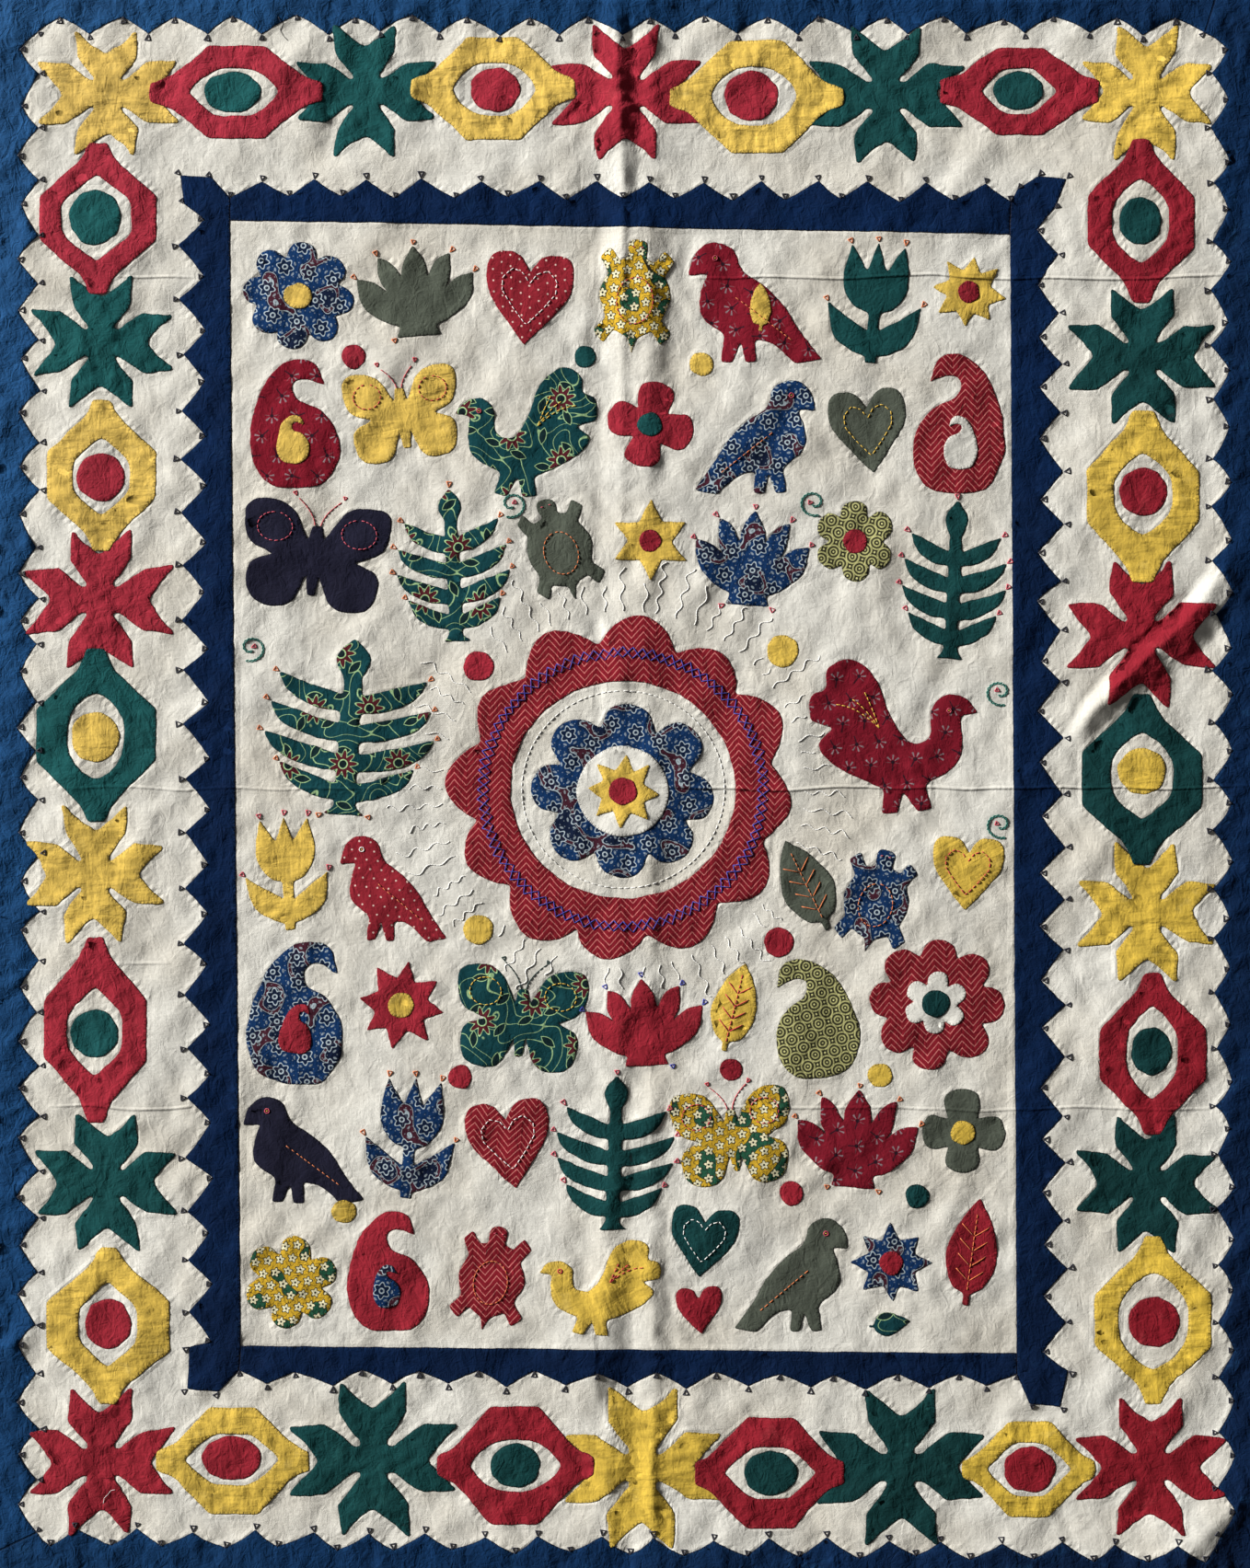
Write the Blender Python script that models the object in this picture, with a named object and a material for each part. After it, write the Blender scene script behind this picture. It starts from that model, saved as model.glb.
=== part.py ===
"""A sewn applique cloth lying face up on a flat surface.

A white cotton ground carries a blue outer border with a toothed inner edge, a
navy inner frame of four strips with a toothed outer edge, and a ring of
four-armed flowers and eye shapes (a ring with a disc in its opening) on the
white band between the two.

Frame: metres, +X to the right across the face, +Y up the face, +Z out of the
face. The origin is under the middle of the cloth, on the surface it lies on.

The layout is drawn in layout units of 0.7 mm, x to the right and y down, and
layout() turns them into millimetres of the frame above.
"""

import math
import random

import bpy
from mathutils import Vector
from mathutils.geometry import delaunay_2d_cdt

# ---------------------------------------------------------------- dimensions
UNIT = 0.7  # mm in a layout unit
MIDDLE = (683.0, 857.0)  # layout point over the frame's origin
CLOTH_W, CLOTH_H = 964.6, 1202.6  # mm, outer size of the cloth
GROUND_T = 1.2  # mm, the white ground with its turned hem
PIECE_T = 1.0  # mm, an applied piece with its turned edge
GAP = 0.3  # mm, between the ground and what is sewn on it
CLEAR = 0.4  # mm, between neighbours in one layer
EDGE_WAVER = 1.6  # mm, how far the outer edge strays inward
EDGE_STEP = 92.0  # mm, between the outer edge's corners

# colour: (red, green, blue, roughness), linear values
COLOURS = {
    "white": (0.60, 0.56, 0.50, 0.92),
    "blue": (0.010, 0.050, 0.165, 0.90),
    "navy": (0.006, 0.022, 0.085, 0.90),
    "red": (0.38, 0.018, 0.030, 0.88),
    "yellow": (0.68, 0.42, 0.040, 0.90),
    "green": (0.012, 0.085, 0.070, 0.90),
}

# Toothed edges, in layout units. A run goes along x or y from its first white
# tooth's tip to its last; tip and notch are the two distances of its teeth
# across the run, lean is added to both by the run's end, teeth counts the tips.
#    name           along start   end   tip  notch  lean teeth
OUTER_RUNS = [
    ("outer_top", "x", 66, 1276, 19, 37, 1, 20),
    ("outer_right", "y", 54, 1640, 1334, 1315, 6, 28),
    ("outer_bottom", "x", 1308, 55, 1696, 1678, -17, 21),
    ("outer_left", "y", 1634, 55, 20, 41, 2, 29),
]
INNER_RUNS = [
    ("inner_top", "x", 250, 1098, 215, 195, 5, 15),
    ("inner_right", "y", 250, 1469, 1126, 1151, 7, 22),
    ("inner_bottom", "x", 1104, 260, 1493, 1508, -4, 14),
    ("inner_left", "y", 1457, 239, 230, 204, -8, 22),
]
# The bevelled corners of the white band, clockwise from the upper left: one
# point each, between two runs
CORNERS = [(41, 35), (1308, 36), (1324, 1667), (40, 1664)]
# The straight inner edge of the navy frame: four corners, clockwise
FIELD = [(250, 240), (1097, 255), (1104, 1470), (262, 1462)]
# The outer corner blocks of the navy frame, clockwise from the upper left
BLOCKS = [
    [(200, 222), (196, 191), (230, 193)],
    [(1105, 206), (1127, 192), (1158, 195), (1145, 227)],
    [(1160, 1489), (1151, 1528), (1118, 1525)],
    [(238, 1512), (204, 1509), (206, 1463)],
]

# The ring of motifs, clockwise from the upper left, in layout units.
#   kind, colour, x, y, half width, half height,
#   for an eye also: opening half width, half height, disc colour, disc x, y,
#   half width, half height
MOTIFS = [
    ("flower", "yellow", 117, 102, 77, 69),
    ("eye", "red", 257, 101, 94, 50, 48, 26, "green", 253, 101, 31, 22),
    ("flower", "green", 398, 100, 76, 72),
    ("eye", "yellow", 536, 97, 89, 56, 45, 29, "red", 538, 98, 27, 24),
    ("flower", "red", 680, 102, 82, 75),
    ("eye", "yellow", 822, 106, 94, 61, 46, 32, "red", 816, 105, 29, 27),
    ("flower", "green", 962, 104, 86, 75),
    ("eye", "red", 1107, 100, 86, 47, 40, 25, "green", 1106, 99, 27, 21),
    ("flower", "yellow", 1245, 101, 73, 75),
    ("eye", "red", 1239, 241, 58, 89, 31, 45, "green", 1238, 241, 23, 26),
    ("flower", "green", 1240, 388, 82, 75),
    ("eye", "yellow", 1241, 540, 61, 93, 32, 44, "red", 1241, 535, 26, 26),
    ("flower", "red", 1239, 690, 81, 80),
    ("eye", "green", 1240, 847, 65, 93, 34, 46, "yellow", 1240, 838, 26, 25),
    ("flower", "yellow", 1245, 992, 75, 77),
    ("eye", "red", 1252, 1145, 58, 88, 28, 50, "green", 1250, 1142, 22, 26),
    ("flower", "green", 1245, 1286, 77, 75),
    ("eye", "yellow", 1252, 1434, 63, 91, 38, 52, "red", 1253, 1436, 28, 27),
    ("flower", "red", 1249, 1593, 83, 77),
    ("eye", "yellow", 1117, 1596, 72, 52, 45, 29, "red", 1118, 1596, 28, 25),
    ("flower", "green", 978, 1594, 92, 86),
    ("eye", "red", 836, 1600, 81, 60, 49, 28, "green", 837, 1600, 29, 24),
    ("flower", "yellow", 698, 1594, 86, 88),
    ("eye", "red", 560, 1592, 85, 64, 49, 28, "green", 560, 1592, 27, 24),
    ("flower", "green", 406, 1585, 92, 84),
    ("eye", "yellow", 253, 1587, 83, 58, 50, 28, "red", 252, 1584, 32, 24),
    ("flower", "red", 110, 1588, 80, 80),
    ("eye", "yellow", 118, 1440, 67, 85, 32, 45, "red", 118, 1438, 25, 27),
    ("flower", "green", 116, 1285, 78, 75),
    ("eye", "red", 104, 1119, 56, 101, 30, 47, "green", 103, 1123, 26, 26),
    ("flower", "yellow", 104, 950, 76, 75),
    ("eye", "green", 105, 799, 65, 94, 31, 46, "yellow", 104, 801, 26, 27),
    ("flower", "red", 109, 652, 83, 77),
    ("eye", "yellow", 111, 517, 59, 82, 31, 41, "red", 110, 519, 26, 26),
    ("flower", "green", 111, 373, 77, 73),
    ("eye", "red", 107, 238, 63, 82, 38, 46, "green", 104, 237, 28, 30),
]

# The centre fold, a row for each section down the cloth: y in layout units,
# then x (layout units) and height (mm) of its points from left to right.
#     y      foot   crest a      valley       crest b      foot
CENTRE_FOLD = [
    (-16, 650, (675, 4.6), (694, 0.4), (712, 0.8), 730),
    (130, 650, (675, 4.8), (695, 0.5), (714, 0.9), 732),
    (255, 652, (676, 4.2), (696, 0.3), (714, 0.6), 732),
    (420, 655, (678, 1.6), (697, 0.2), (714, 0.3), 730),
    (800, 655, (680, 1.0), (697, 0.1), (714, 0.2), 730),
    (1060, 650, (676, 1.6), (694, 0.3), (712, 1.0), 730),
    (1380, 646, (668, 2.8), (692, 0.4), (712, 2.8), 732),
    (1520, 644, (665, 4.6), (691, 0.6), (713, 4.8), 734),
    (1730, 642, (664, 5.2), (690, 0.8), (713, 5.2), 736),
]
# Folds with one crest: points along the crest in layout units, with the height
# and the reach to each side in mm, left and right of the way the rows go.
SIDE_FOLDS = [
    [
        (1160, 806, 0.0, 12, 20),
        (1200, 770, 3.4, 13, 24),
        (1260, 712, 5.0, 14, 28),
        (1316, 664, 4.2, 14, 28),
        (1390, 592, 2.2, 16, 26),
    ],
    [
        (1250, 1735, 4.0, 52, 26),
        (1292, 1684, 6.5, 56, 28),
        (1336, 1638, 6.8, 56, 28),
        (1392, 1590, 4.5, 52, 26),
    ],
]


# ---------------------------------------------------------------- plane tools
def layout(x, y):
    """Layout units to millimetres of the frame."""
    return ((x - MIDDLE[0]) * UNIT, (MIDDLE[1] - y) * UNIT)


def area2(loop):
    return sum(
        a[0] * b[1] - b[0] * a[1] for a, b in zip(loop, loop[1:] + loop[:1])
    )


def anticlockwise(loop):
    return loop if area2(loop) > 0 else loop[::-1]


def inside(point, loop):
    x, y = point
    hit = False
    for (ax, ay), (bx, by) in zip(loop, loop[1:] + loop[:1]):
        if (ay > y) != (by > y) and x < ax + (y - ay) * (bx - ax) / (by - ay):
            hit = not hit
    return hit


def grown(loop, by):
    """The loop moved outward by so many mm, with mitred corners."""
    loop = anticlockwise(loop)
    out = []
    for i, (x, y) in enumerate(loop):
        (ax, ay), (bx, by_) = loop[i - 1], loop[(i + 1) % len(loop)]
        ux, uy = x - ax, y - ay
        vx, vy = bx - x, by_ - y
        u, v = math.hypot(ux, uy), math.hypot(vx, vy)
        n1, n2 = (uy / u, -ux / u), (vy / v, -vx / v)
        mx, my = n1[0] + n2[0], n1[1] + n2[1]
        k = by / max(0.35, (mx * n1[0] + my * n1[1]))
        out.append((x + mx * k, y + my * k))
    return out


# ------------------------------------------------------------------ the folds
def fold_height(x, y):
    """Height in mm that the side folds give at a point of the frame."""
    best = 0.0
    for fold in SIDE_FOLDS:
        for a, b in zip(fold, fold[1:]):
            (ax, ay), (bx, by) = layout(a[0], a[1]), layout(b[0], b[1])
            ux, uy = bx - ax, by - ay
            long = math.hypot(ux, uy)
            t = ((x - ax) * ux + (y - ay) * uy) / long**2
            if not -1e-6 <= t <= 1 + 1e-6:
                continue
            off = ((x - ax) * -uy + (y - ay) * ux) / long
            reach = a[3] + (b[3] - a[3]) * t if off > 0 else a[4] + (b[4] - a[4]) * t
            high = a[2] + (b[2] - a[2]) * t
            best = max(best, high * (1 - abs(off) / reach))
    return best


def sections():
    """Points and edges of the folded surface, each point with its height."""
    points, edges = [], []

    def add(x, y, high):
        points.append((x, y, high))
        return len(points) - 1

    rows = []
    for y, left, a, valley, b, right in CENTRE_FOLD:
        spots = [(left, 0.0), a, valley, b, (right, 0.0)]
        rows.append([add(*layout(x, y), high) for x, high in spots])
    for row in rows:
        edges += list(zip(row, row[1:]))
    for upper, lower in zip(rows, rows[1:]):
        edges += list(zip(upper, lower))
    for fold in SIDE_FOLDS:
        lines = []
        for i, (x, y, high, left, right) in enumerate(fold):
            here = layout(x, y)
            a = layout(*fold[max(0, i - 1)][:2])
            b = layout(*fold[min(len(fold) - 1, i + 1)][:2])
            long = math.hypot(b[0] - a[0], b[1] - a[1])
            nx, ny = -(b[1] - a[1]) / long, (b[0] - a[0]) / long
            crest = add(*here, high)
            if high == 0.0:
                lines.append((crest, crest, crest))
                continue
            lines.append(
                (
                    add(here[0] + nx * left, here[1] + ny * left, 0.0),
                    crest,
                    add(here[0] - nx * right, here[1] - ny * right, 0.0),
                )
            )
        for row in lines:
            edges += [e for e in zip(row, row[1:]) if e[0] != e[1]]
        for upper, lower in zip(lines, lines[1:]):
            edges += [e for e in zip(upper, lower) if e[0] != e[1]]
    return points, sorted(set(edges))


def cut(points, edges):
    """Triangles through these points that keep these edges, with new points
    where edges cross."""
    verts, _, faces, *_ = delaunay_2d_cdt(
        [Vector(p) for p in points], edges, [], 0, 1e-4, False
    )
    return [(v.x, v.y) for v in verts], [tuple(f) for f in faces if len(f) == 3]


class Surface:
    """The folded face of the cloth, as flat facets."""

    def __init__(self, outline):
        given, edges = sections()
        n = len(given)
        flat = [(x, y) for x, y, _ in given] + outline
        edges = edges + [(n + i, n + (i + 1) % len(outline)) for i in range(len(outline))]
        self.points, faces = cut(flat, edges)
        near = {(round(x, 2), round(y, 2)): high for x, y, high in given}
        known = [near.get((round(x, 2), round(y, 2))) for x, y in self.points]
        # A point made where a fold meets the cloth's edge takes its height
        # from the run of the fold through it.
        self.heights = [
            max(0.0, self.between(p, given, edges, n)) if k is None else k
            for p, k in zip(self.points, known)
        ]
        self.faces = [f for f in faces if inside(self.middle(f), outline)]
        self.creases = self.bent_edges()

    @staticmethod
    def between(p, given, edges, n):
        best = fold_height(*p)
        for i, j in edges:
            if i >= n or j >= n:
                continue
            (ax, ay, ah), (bx, by, bh) = given[i], given[j]
            ux, uy = bx - ax, by - ay
            long = math.hypot(ux, uy)
            t = ((p[0] - ax) * ux + (p[1] - ay) * uy) / long**2
            off = abs((p[0] - ax) * uy - (p[1] - ay) * ux) / long
            if off < 0.02 and 0 <= t <= 1:
                best = max(best, ah + (bh - ah) * t)
        return best

    def middle(self, face):
        return tuple(sum(self.points[i][k] for i in face) / 3 for k in (0, 1))

    def plane(self, face):
        (ax, ay), (bx, by), (cx, cy) = (self.points[i] for i in face)
        ah, bh, ch = (self.heights[i] for i in face)
        det = (bx - ax) * (cy - ay) - (cx - ax) * (by - ay)
        gx = ((bh - ah) * (cy - ay) - (ch - ah) * (by - ay)) / det
        gy = ((bx - ax) * (ch - ah) - (cx - ax) * (bh - ah)) / det
        return gx, gy, ah - gx * ax - gy * ay

    def bent_edges(self):
        sides = {}
        for f in self.faces:
            for i, j in zip(f, f[1:] + f[:1]):
                sides.setdefault((min(i, j), max(i, j)), []).append(self.plane(f))
        bent = []
        for (i, j), planes in sides.items():
            if len(planes) == 2 and max(
                abs(planes[0][k] - planes[1][k]) for k in (0, 1)
            ) > 1e-4:
                bent.append((self.points[i], self.points[j]))
        return bent

    def height(self, x, y):
        best, found = None, 0.0
        for f in self.faces:
            (ax, ay), (bx, by), (cx, cy) = (self.points[i] for i in f)
            det = (bx - ax) * (cy - ay) - (cx - ax) * (by - ay)
            u = ((x - ax) * (cy - ay) - (cx - ax) * (y - ay)) / det
            v = ((bx - ax) * (y - ay) - (x - ax) * (by - ay)) / det
            low = min(u, v, 1 - u - v)
            if best is None or low > best:
                ha, hb, hc = (self.heights[i] for i in f)
                best, found = low, ha + (hb - ha) * u + (hc - ha) * v
                if low >= 0:
                    break
        return found


# ----------------------------------------------------------------- the pieces
def material(colour):
    made = bpy.data.materials.get(colour)
    if made is None:
        made = bpy.data.materials.new(colour)
        made.use_nodes = True
        r, g, b, rough = COLOURS[colour]
        shader = made.node_tree.nodes["Principled BSDF"]
        shader.inputs["Base Color"].default_value = (r, g, b, 1.0)
        shader.inputs["Roughness"].default_value = rough
        shader.inputs["Metallic"].default_value = 0.0
    return made


def largest(faces):
    """The largest group of triangles that share edges."""
    by_edge = {}
    for k, f in enumerate(faces):
        for i, j in zip(f, f[1:] + f[:1]):
            by_edge.setdefault((min(i, j), max(i, j)), []).append(k)
    seen, best = set(), []
    for k in range(len(faces)):
        if k in seen:
            continue
        group, todo = [], [k]
        seen.add(k)
        while todo:
            f = todo.pop()
            group.append(f)
            for i, j in zip(faces[f], faces[f][1:] + faces[f][:1]):
                for g in by_edge[(min(i, j), max(i, j))]:
                    if g not in seen:
                        seen.add(g)
                        todo.append(g)
        best = max(best, group, key=len)
    return [faces[k] for k in best]


def sheet(name, colour, surface, low, thick, outer, holes=(), clear=(), within=()):
    """A sheet with this outline on the folded surface, low mm above it.
    It leaves out the holes, what lies in a loop of clear and what lies outside
    a loop of within."""
    loops = [list(outer)] + [list(h) for h in (*holes, *clear, *within)]
    points, edges = [], []
    for loop in loops:
        n = len(points)
        points += loop
        edges += [(n + i, n + (i + 1) % len(loop)) for i in range(len(loop))]
    xs, ys = [p[0] for p in outer], [p[1] for p in outer]
    box = min(xs), min(ys), max(xs), max(ys)
    for a, b in surface.creases:
        if (
            max(a[0], b[0]) < box[0]
            or min(a[0], b[0]) > box[2]
            or max(a[1], b[1]) < box[1]
            or min(a[1], b[1]) > box[3]
        ):
            continue
        n = len(points)
        points += [a, b]
        edges.append((n, n + 1))
    flat, faces = cut(points, edges)
    kept = []
    for f in faces:
        middle = tuple(sum(flat[i][k] for i in f) / 3 for k in (0, 1))
        if (
            inside(middle, outer)
            and not any(inside(middle, h) for h in (*holes, *clear))
            and all(inside(middle, w) for w in within)
        ):
            kept.append(f)
    kept = largest(kept)
    used = sorted({i for f in kept for i in f})
    place = {i: k for k, i in enumerate(used)}
    n = len(used)
    verts = []
    for base in (low, low + thick):
        for i in used:
            x, y = flat[i]
            verts.append((x / 1000, y / 1000, (surface.height(x, y) + base) / 1000))
    built, rim = [], {}
    for f in kept:
        a, b, c = (place[i] for i in f)
        (ax, ay), (bx, by), (cx, cy) = (flat[i] for i in f)
        if (bx - ax) * (cy - ay) - (cx - ax) * (by - ay) < 0:
            b, c = c, b
        built += [(a + n, b + n, c + n), (a, c, b)]
        for i, j in ((a, b), (b, c), (c, a)):
            if (j, i) in rim:
                del rim[(j, i)]
            else:
                rim[(i, j)] = True
    built += [(i, j, j + n, i + n) for i, j in rim]
    mesh = bpy.data.meshes.new(name)
    mesh.from_pydata(verts, [], built)
    mesh.materials.append(material(colour))
    mesh.validate()
    mesh.update()
    thing = bpy.data.objects.new(name, mesh)
    bpy.context.scene.collection.objects.link(thing)
    return thing


# --------------------------------------------------------------- the outlines
def cloth_outline():
    """The outer edge, which strays inward a little between its corners."""
    rng = random.Random(4)
    half_w, half_h = CLOTH_W / 2, CLOTH_H / 2
    loop = []
    corners = [(-half_w, -half_h), (half_w, -half_h), (half_w, half_h), (-half_w, half_h)]
    for (ax, ay), (bx, by) in zip(corners, corners[1:] + corners[:1]):
        long = math.hypot(bx - ax, by - ay)
        ux, uy = (bx - ax) / long, (by - ay) / long
        steps = round(long / EDGE_STEP)
        for k in range(steps):
            # every third point and each corner lie on the full outline
            off = 0.0 if k % 3 == 0 else rng.uniform(0.3, 1.0) * EDGE_WAVER
            t = long * k / steps + (rng.uniform(-14, 14) if k else 0.0)
            loop.append((ax + ux * t - uy * off, ay + uy * t + ux * off))
    return loop


def teeth(rng, along, start, end, tip, notch, lean, count):
    """Layout points of a toothed run: tip, notch, tip ... tip."""
    out = []
    last = 2 * (count - 1)
    for k in range(last + 1):
        t = k / last
        at, off = start + (end - start) * t, (notch if k % 2 else tip) + lean * t
        if 0 < k < last:
            at, off = at + rng.uniform(-5, 5), off + rng.uniform(-2.5, 2.5)
        out.append((at, off) if along == "x" else (off, at))
    return out


def border_opening():
    rng = random.Random(11)
    loop = []
    for corner, run in zip(CORNERS, OUTER_RUNS):
        loop += [corner] + teeth(rng, *run[1:])
    return anticlockwise([layout(x, y) for x, y in loop])


def strips():
    """The four strips of the navy frame, each outline in layout units. The
    side strips hold the corners, and the others butt against them."""
    rng = random.Random(23)
    top, right, bottom, left = (teeth(rng, *run[1:]) for run in INNER_RUNS)
    a, b, c, d = FIELD
    s = 0.5 * CLEAR / UNIT  # half a seam in layout units

    def moved(points, dx):
        return [(x + dx, y) for x, y in points]

    return {
        "frame_top": moved([a, top[0]], s) + top[1:-1] + moved([top[-1], b], -s),
        "frame_right": moved([b, top[-1]], s)
        + BLOCKS[1]
        + right
        + BLOCKS[2]
        + moved([bottom[0], c], s),
        "frame_bottom": moved([c, bottom[0]], -s) + bottom[1:-1] + moved([bottom[-1], d], s),
        "frame_left": moved([d, bottom[-1]], -s)
        + BLOCKS[3]
        + left
        + BLOCKS[0]
        + moved([top[0], a], -s),
    }


def flower(rng, half_w, half_h):
    """Four arms that widen to shoulders and end in two points each, with a
    slit between neighbours. Around (0, 0), in layout units."""
    loop = []
    reach = [half_w, half_h, half_w, half_h]
    for arm in range(4):
        far = reach[arm]
        side = 0.33 * (half_w + half_h) / 2 + 8
        #  along the arm, across it
        row = [
            (0.21 * far, -13.5),
            (0.57 * far, -side),
            (1.00 * far, -side * 0.95),
            (0.67 * far, 0.0),
            (1.00 * far, side * 0.95),
            (0.57 * far, side),
            (0.21 * far, 13.5),
            (14.0, 14.0),
        ]
        turn = arm * math.pi / 2
        c, s = round(math.cos(turn)), round(math.sin(turn))
        for k, (u, v) in enumerate(row):
            if k in (1, 3, 5):
                u, v = u + rng.uniform(-2.5, 2.5), v + rng.uniform(-2, 2)
            if k in (2, 4):
                u, v = u - rng.uniform(0, 3.5), v + rng.uniform(-4, 4)
            loop.append((u * c - v * s, u * s + v * c))
    return loop


def eye_outer(rng, half_w, half_h):
    """A long six-sided shape with blunt ends and slightly hollow slants."""
    upright = half_h > half_w
    a, b = (half_h, half_w) if upright else (half_w, half_h)
    tip, flat = rng.uniform(8, 12), a * 0.31
    loop = []
    for sa, sb in ((1, 1), (-1, 1), (-1, -1), (1, -1)):
        bit = [(a, tip), (a * 0.76, tip + (b - tip) * 0.28), (flat, b)]
        if sa * sb < 0:
            bit = bit[::-1]
        for u, v in bit:
            jog = 0 if u == a else rng.uniform(-2, 2)
            loop.append((sa * (u + jog), sb * v))
    return [(-v, u) for u, v in loop] if upright else loop


def eye_opening(half_w, half_h):
    """The almond opening, with a slight point at each end of its length."""
    upright = half_h > half_w
    a, b = (half_h, half_w) if upright else (half_w, half_h)
    loop = []
    for k in range(12):
        t = 2 * math.pi * k / 12
        stretch = 1.0 if k in (0, 6) else 0.97
        loop.append((a * stretch * math.cos(t), b * math.sin(t)))
    return [(-v, u) for u, v in loop] if upright else loop


def disc_outline(rx, ry):
    return [
        (rx * math.cos(2 * math.pi * k / 12), ry * math.sin(2 * math.pi * k / 12))
        for k in range(12)
    ]


def placed(loop, x, y):
    return anticlockwise([layout(x + u, y + v) for u, v in loop])


# ------------------------------------------------------------------- assembly
def main():
    for thing in list(bpy.data.objects):
        bpy.data.objects.remove(thing, do_unlink=True)

    outline = cloth_outline()
    surface = Surface(outline)
    on_top = GROUND_T + GAP

    sheet("ground_cloth", "white", surface, 0.0, GROUND_T, outline)
    opening = border_opening()
    sheet("outer_border", "blue", surface, on_top, PIECE_T, outline, holes=[opening])
    runs = {}
    for name, loop in strips().items():
        runs[name] = anticlockwise([layout(x, y) for x, y in loop])
        sheet(name, "navy", surface, on_top, PIECE_T, runs[name])

    # eyes first, because the petals stop short of them
    rng = random.Random(7)
    eyes, flowers = [], []
    for number, row in enumerate(MOTIFS, start=1):
        kind, colour, x, y, half_w, half_h = row[:6]
        if kind == "eye":
            outer = placed(eye_outer(rng, half_w, half_h), x, y)
            hole = placed(eye_opening(row[6], row[7]), (x + row[9]) / 2, (y + row[10]) / 2)
            eyes.append((number, colour, outer, hole, row))
        else:
            flowers.append((number, colour, placed(flower(rng, half_w, half_h), x, y)))

    room = grown(opening, -CLEAR)
    near_frame = [grown(loop, CLEAR) for loop in runs.values()]
    for k, (number, colour, outer, hole, row) in enumerate(eyes, start=1):
        sheet(
            f"ring_{k:02d}", colour, surface, on_top, PIECE_T, outer,
            holes=[hole], within=[room],
        )
        disc = placed(disc_outline(row[11], row[12]), row[9], row[10])
        sheet(f"disc_{k:02d}", row[8], surface, on_top, PIECE_T, disc)
    around = [grown(e[2], CLEAR) for e in eyes]
    for k, (number, colour, loop) in enumerate(flowers, start=1):
        xs, ys = [p[0] for p in loop], [p[1] for p in loop]
        close = [
            e
            for e in around + near_frame
            if max(p[0] for p in e) > min(xs)
            and min(p[0] for p in e) < max(xs)
            and max(p[1] for p in e) > min(ys)
            and min(p[1] for p in e) < max(ys)
        ]
        sheet(
            f"flower_{k:02d}", colour, surface, on_top, PIECE_T, loop,
            clear=close, within=[room],
        )


main()
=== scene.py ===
"""Looks for the sewn applique cloth: cotton sheets with turned, whip-stitched
edges on a crumpled white ground, lying face up on a pale floor.

Plane sizes below are layout units of 0.7 mm, x to the right and y down, as in
the part's source. Heights and stitch sizes are millimetres.
"""

import math
import random

import bpy
import numpy as np
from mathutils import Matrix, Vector
from mathutils.geometry import delaunay_2d_cdt


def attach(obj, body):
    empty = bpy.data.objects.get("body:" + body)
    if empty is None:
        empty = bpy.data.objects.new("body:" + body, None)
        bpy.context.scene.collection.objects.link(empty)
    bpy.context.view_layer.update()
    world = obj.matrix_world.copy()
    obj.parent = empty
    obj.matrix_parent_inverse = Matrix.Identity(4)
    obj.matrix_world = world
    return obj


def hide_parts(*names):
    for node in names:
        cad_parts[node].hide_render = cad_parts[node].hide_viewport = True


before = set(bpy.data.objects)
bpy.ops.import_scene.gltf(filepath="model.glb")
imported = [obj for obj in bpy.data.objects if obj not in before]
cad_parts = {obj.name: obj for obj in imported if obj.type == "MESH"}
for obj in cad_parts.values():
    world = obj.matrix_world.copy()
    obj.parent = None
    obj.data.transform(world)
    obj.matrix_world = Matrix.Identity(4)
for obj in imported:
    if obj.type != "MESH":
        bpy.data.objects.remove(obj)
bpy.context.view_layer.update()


# ------------------------------------------------------------- shared layout
UNIT = 0.7  # mm in a layout unit
MIDDLE = (683.0, 857.0)
CLOTH_W, CLOTH_H = 964.6, 1202.6
EDGE_WAVER, EDGE_STEP = 1.6, 92.0

#    along start   end   tip  notch  lean teeth
OUTER_RUNS = [
    ("x", 66, 1276, 19, 37, 1, 20),
    ("y", 54, 1640, 1334, 1315, 6, 28),
    ("x", 1308, 55, 1696, 1678, -17, 21),
    ("y", 1634, 55, 20, 41, 2, 29),
]
INNER_RUNS = [
    ("x", 250, 1098, 215, 195, 5, 15),
    ("y", 250, 1469, 1126, 1151, 7, 22),
    ("x", 1104, 260, 1493, 1508, -4, 14),
    ("y", 1457, 239, 230, 204, -8, 22),
]
CORNERS = [(41, 35), (1308, 36), (1324, 1667), (40, 1664)]
FIELD = [(250, 240), (1097, 255), (1104, 1470), (262, 1462)]
BLOCKS = [
    [(200, 222), (196, 191), (230, 193)],
    [(1105, 206), (1127, 192), (1158, 195), (1145, 227)],
    [(1160, 1489), (1151, 1528), (1118, 1525)],
    [(238, 1512), (204, 1509), (206, 1463)],
]
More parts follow.
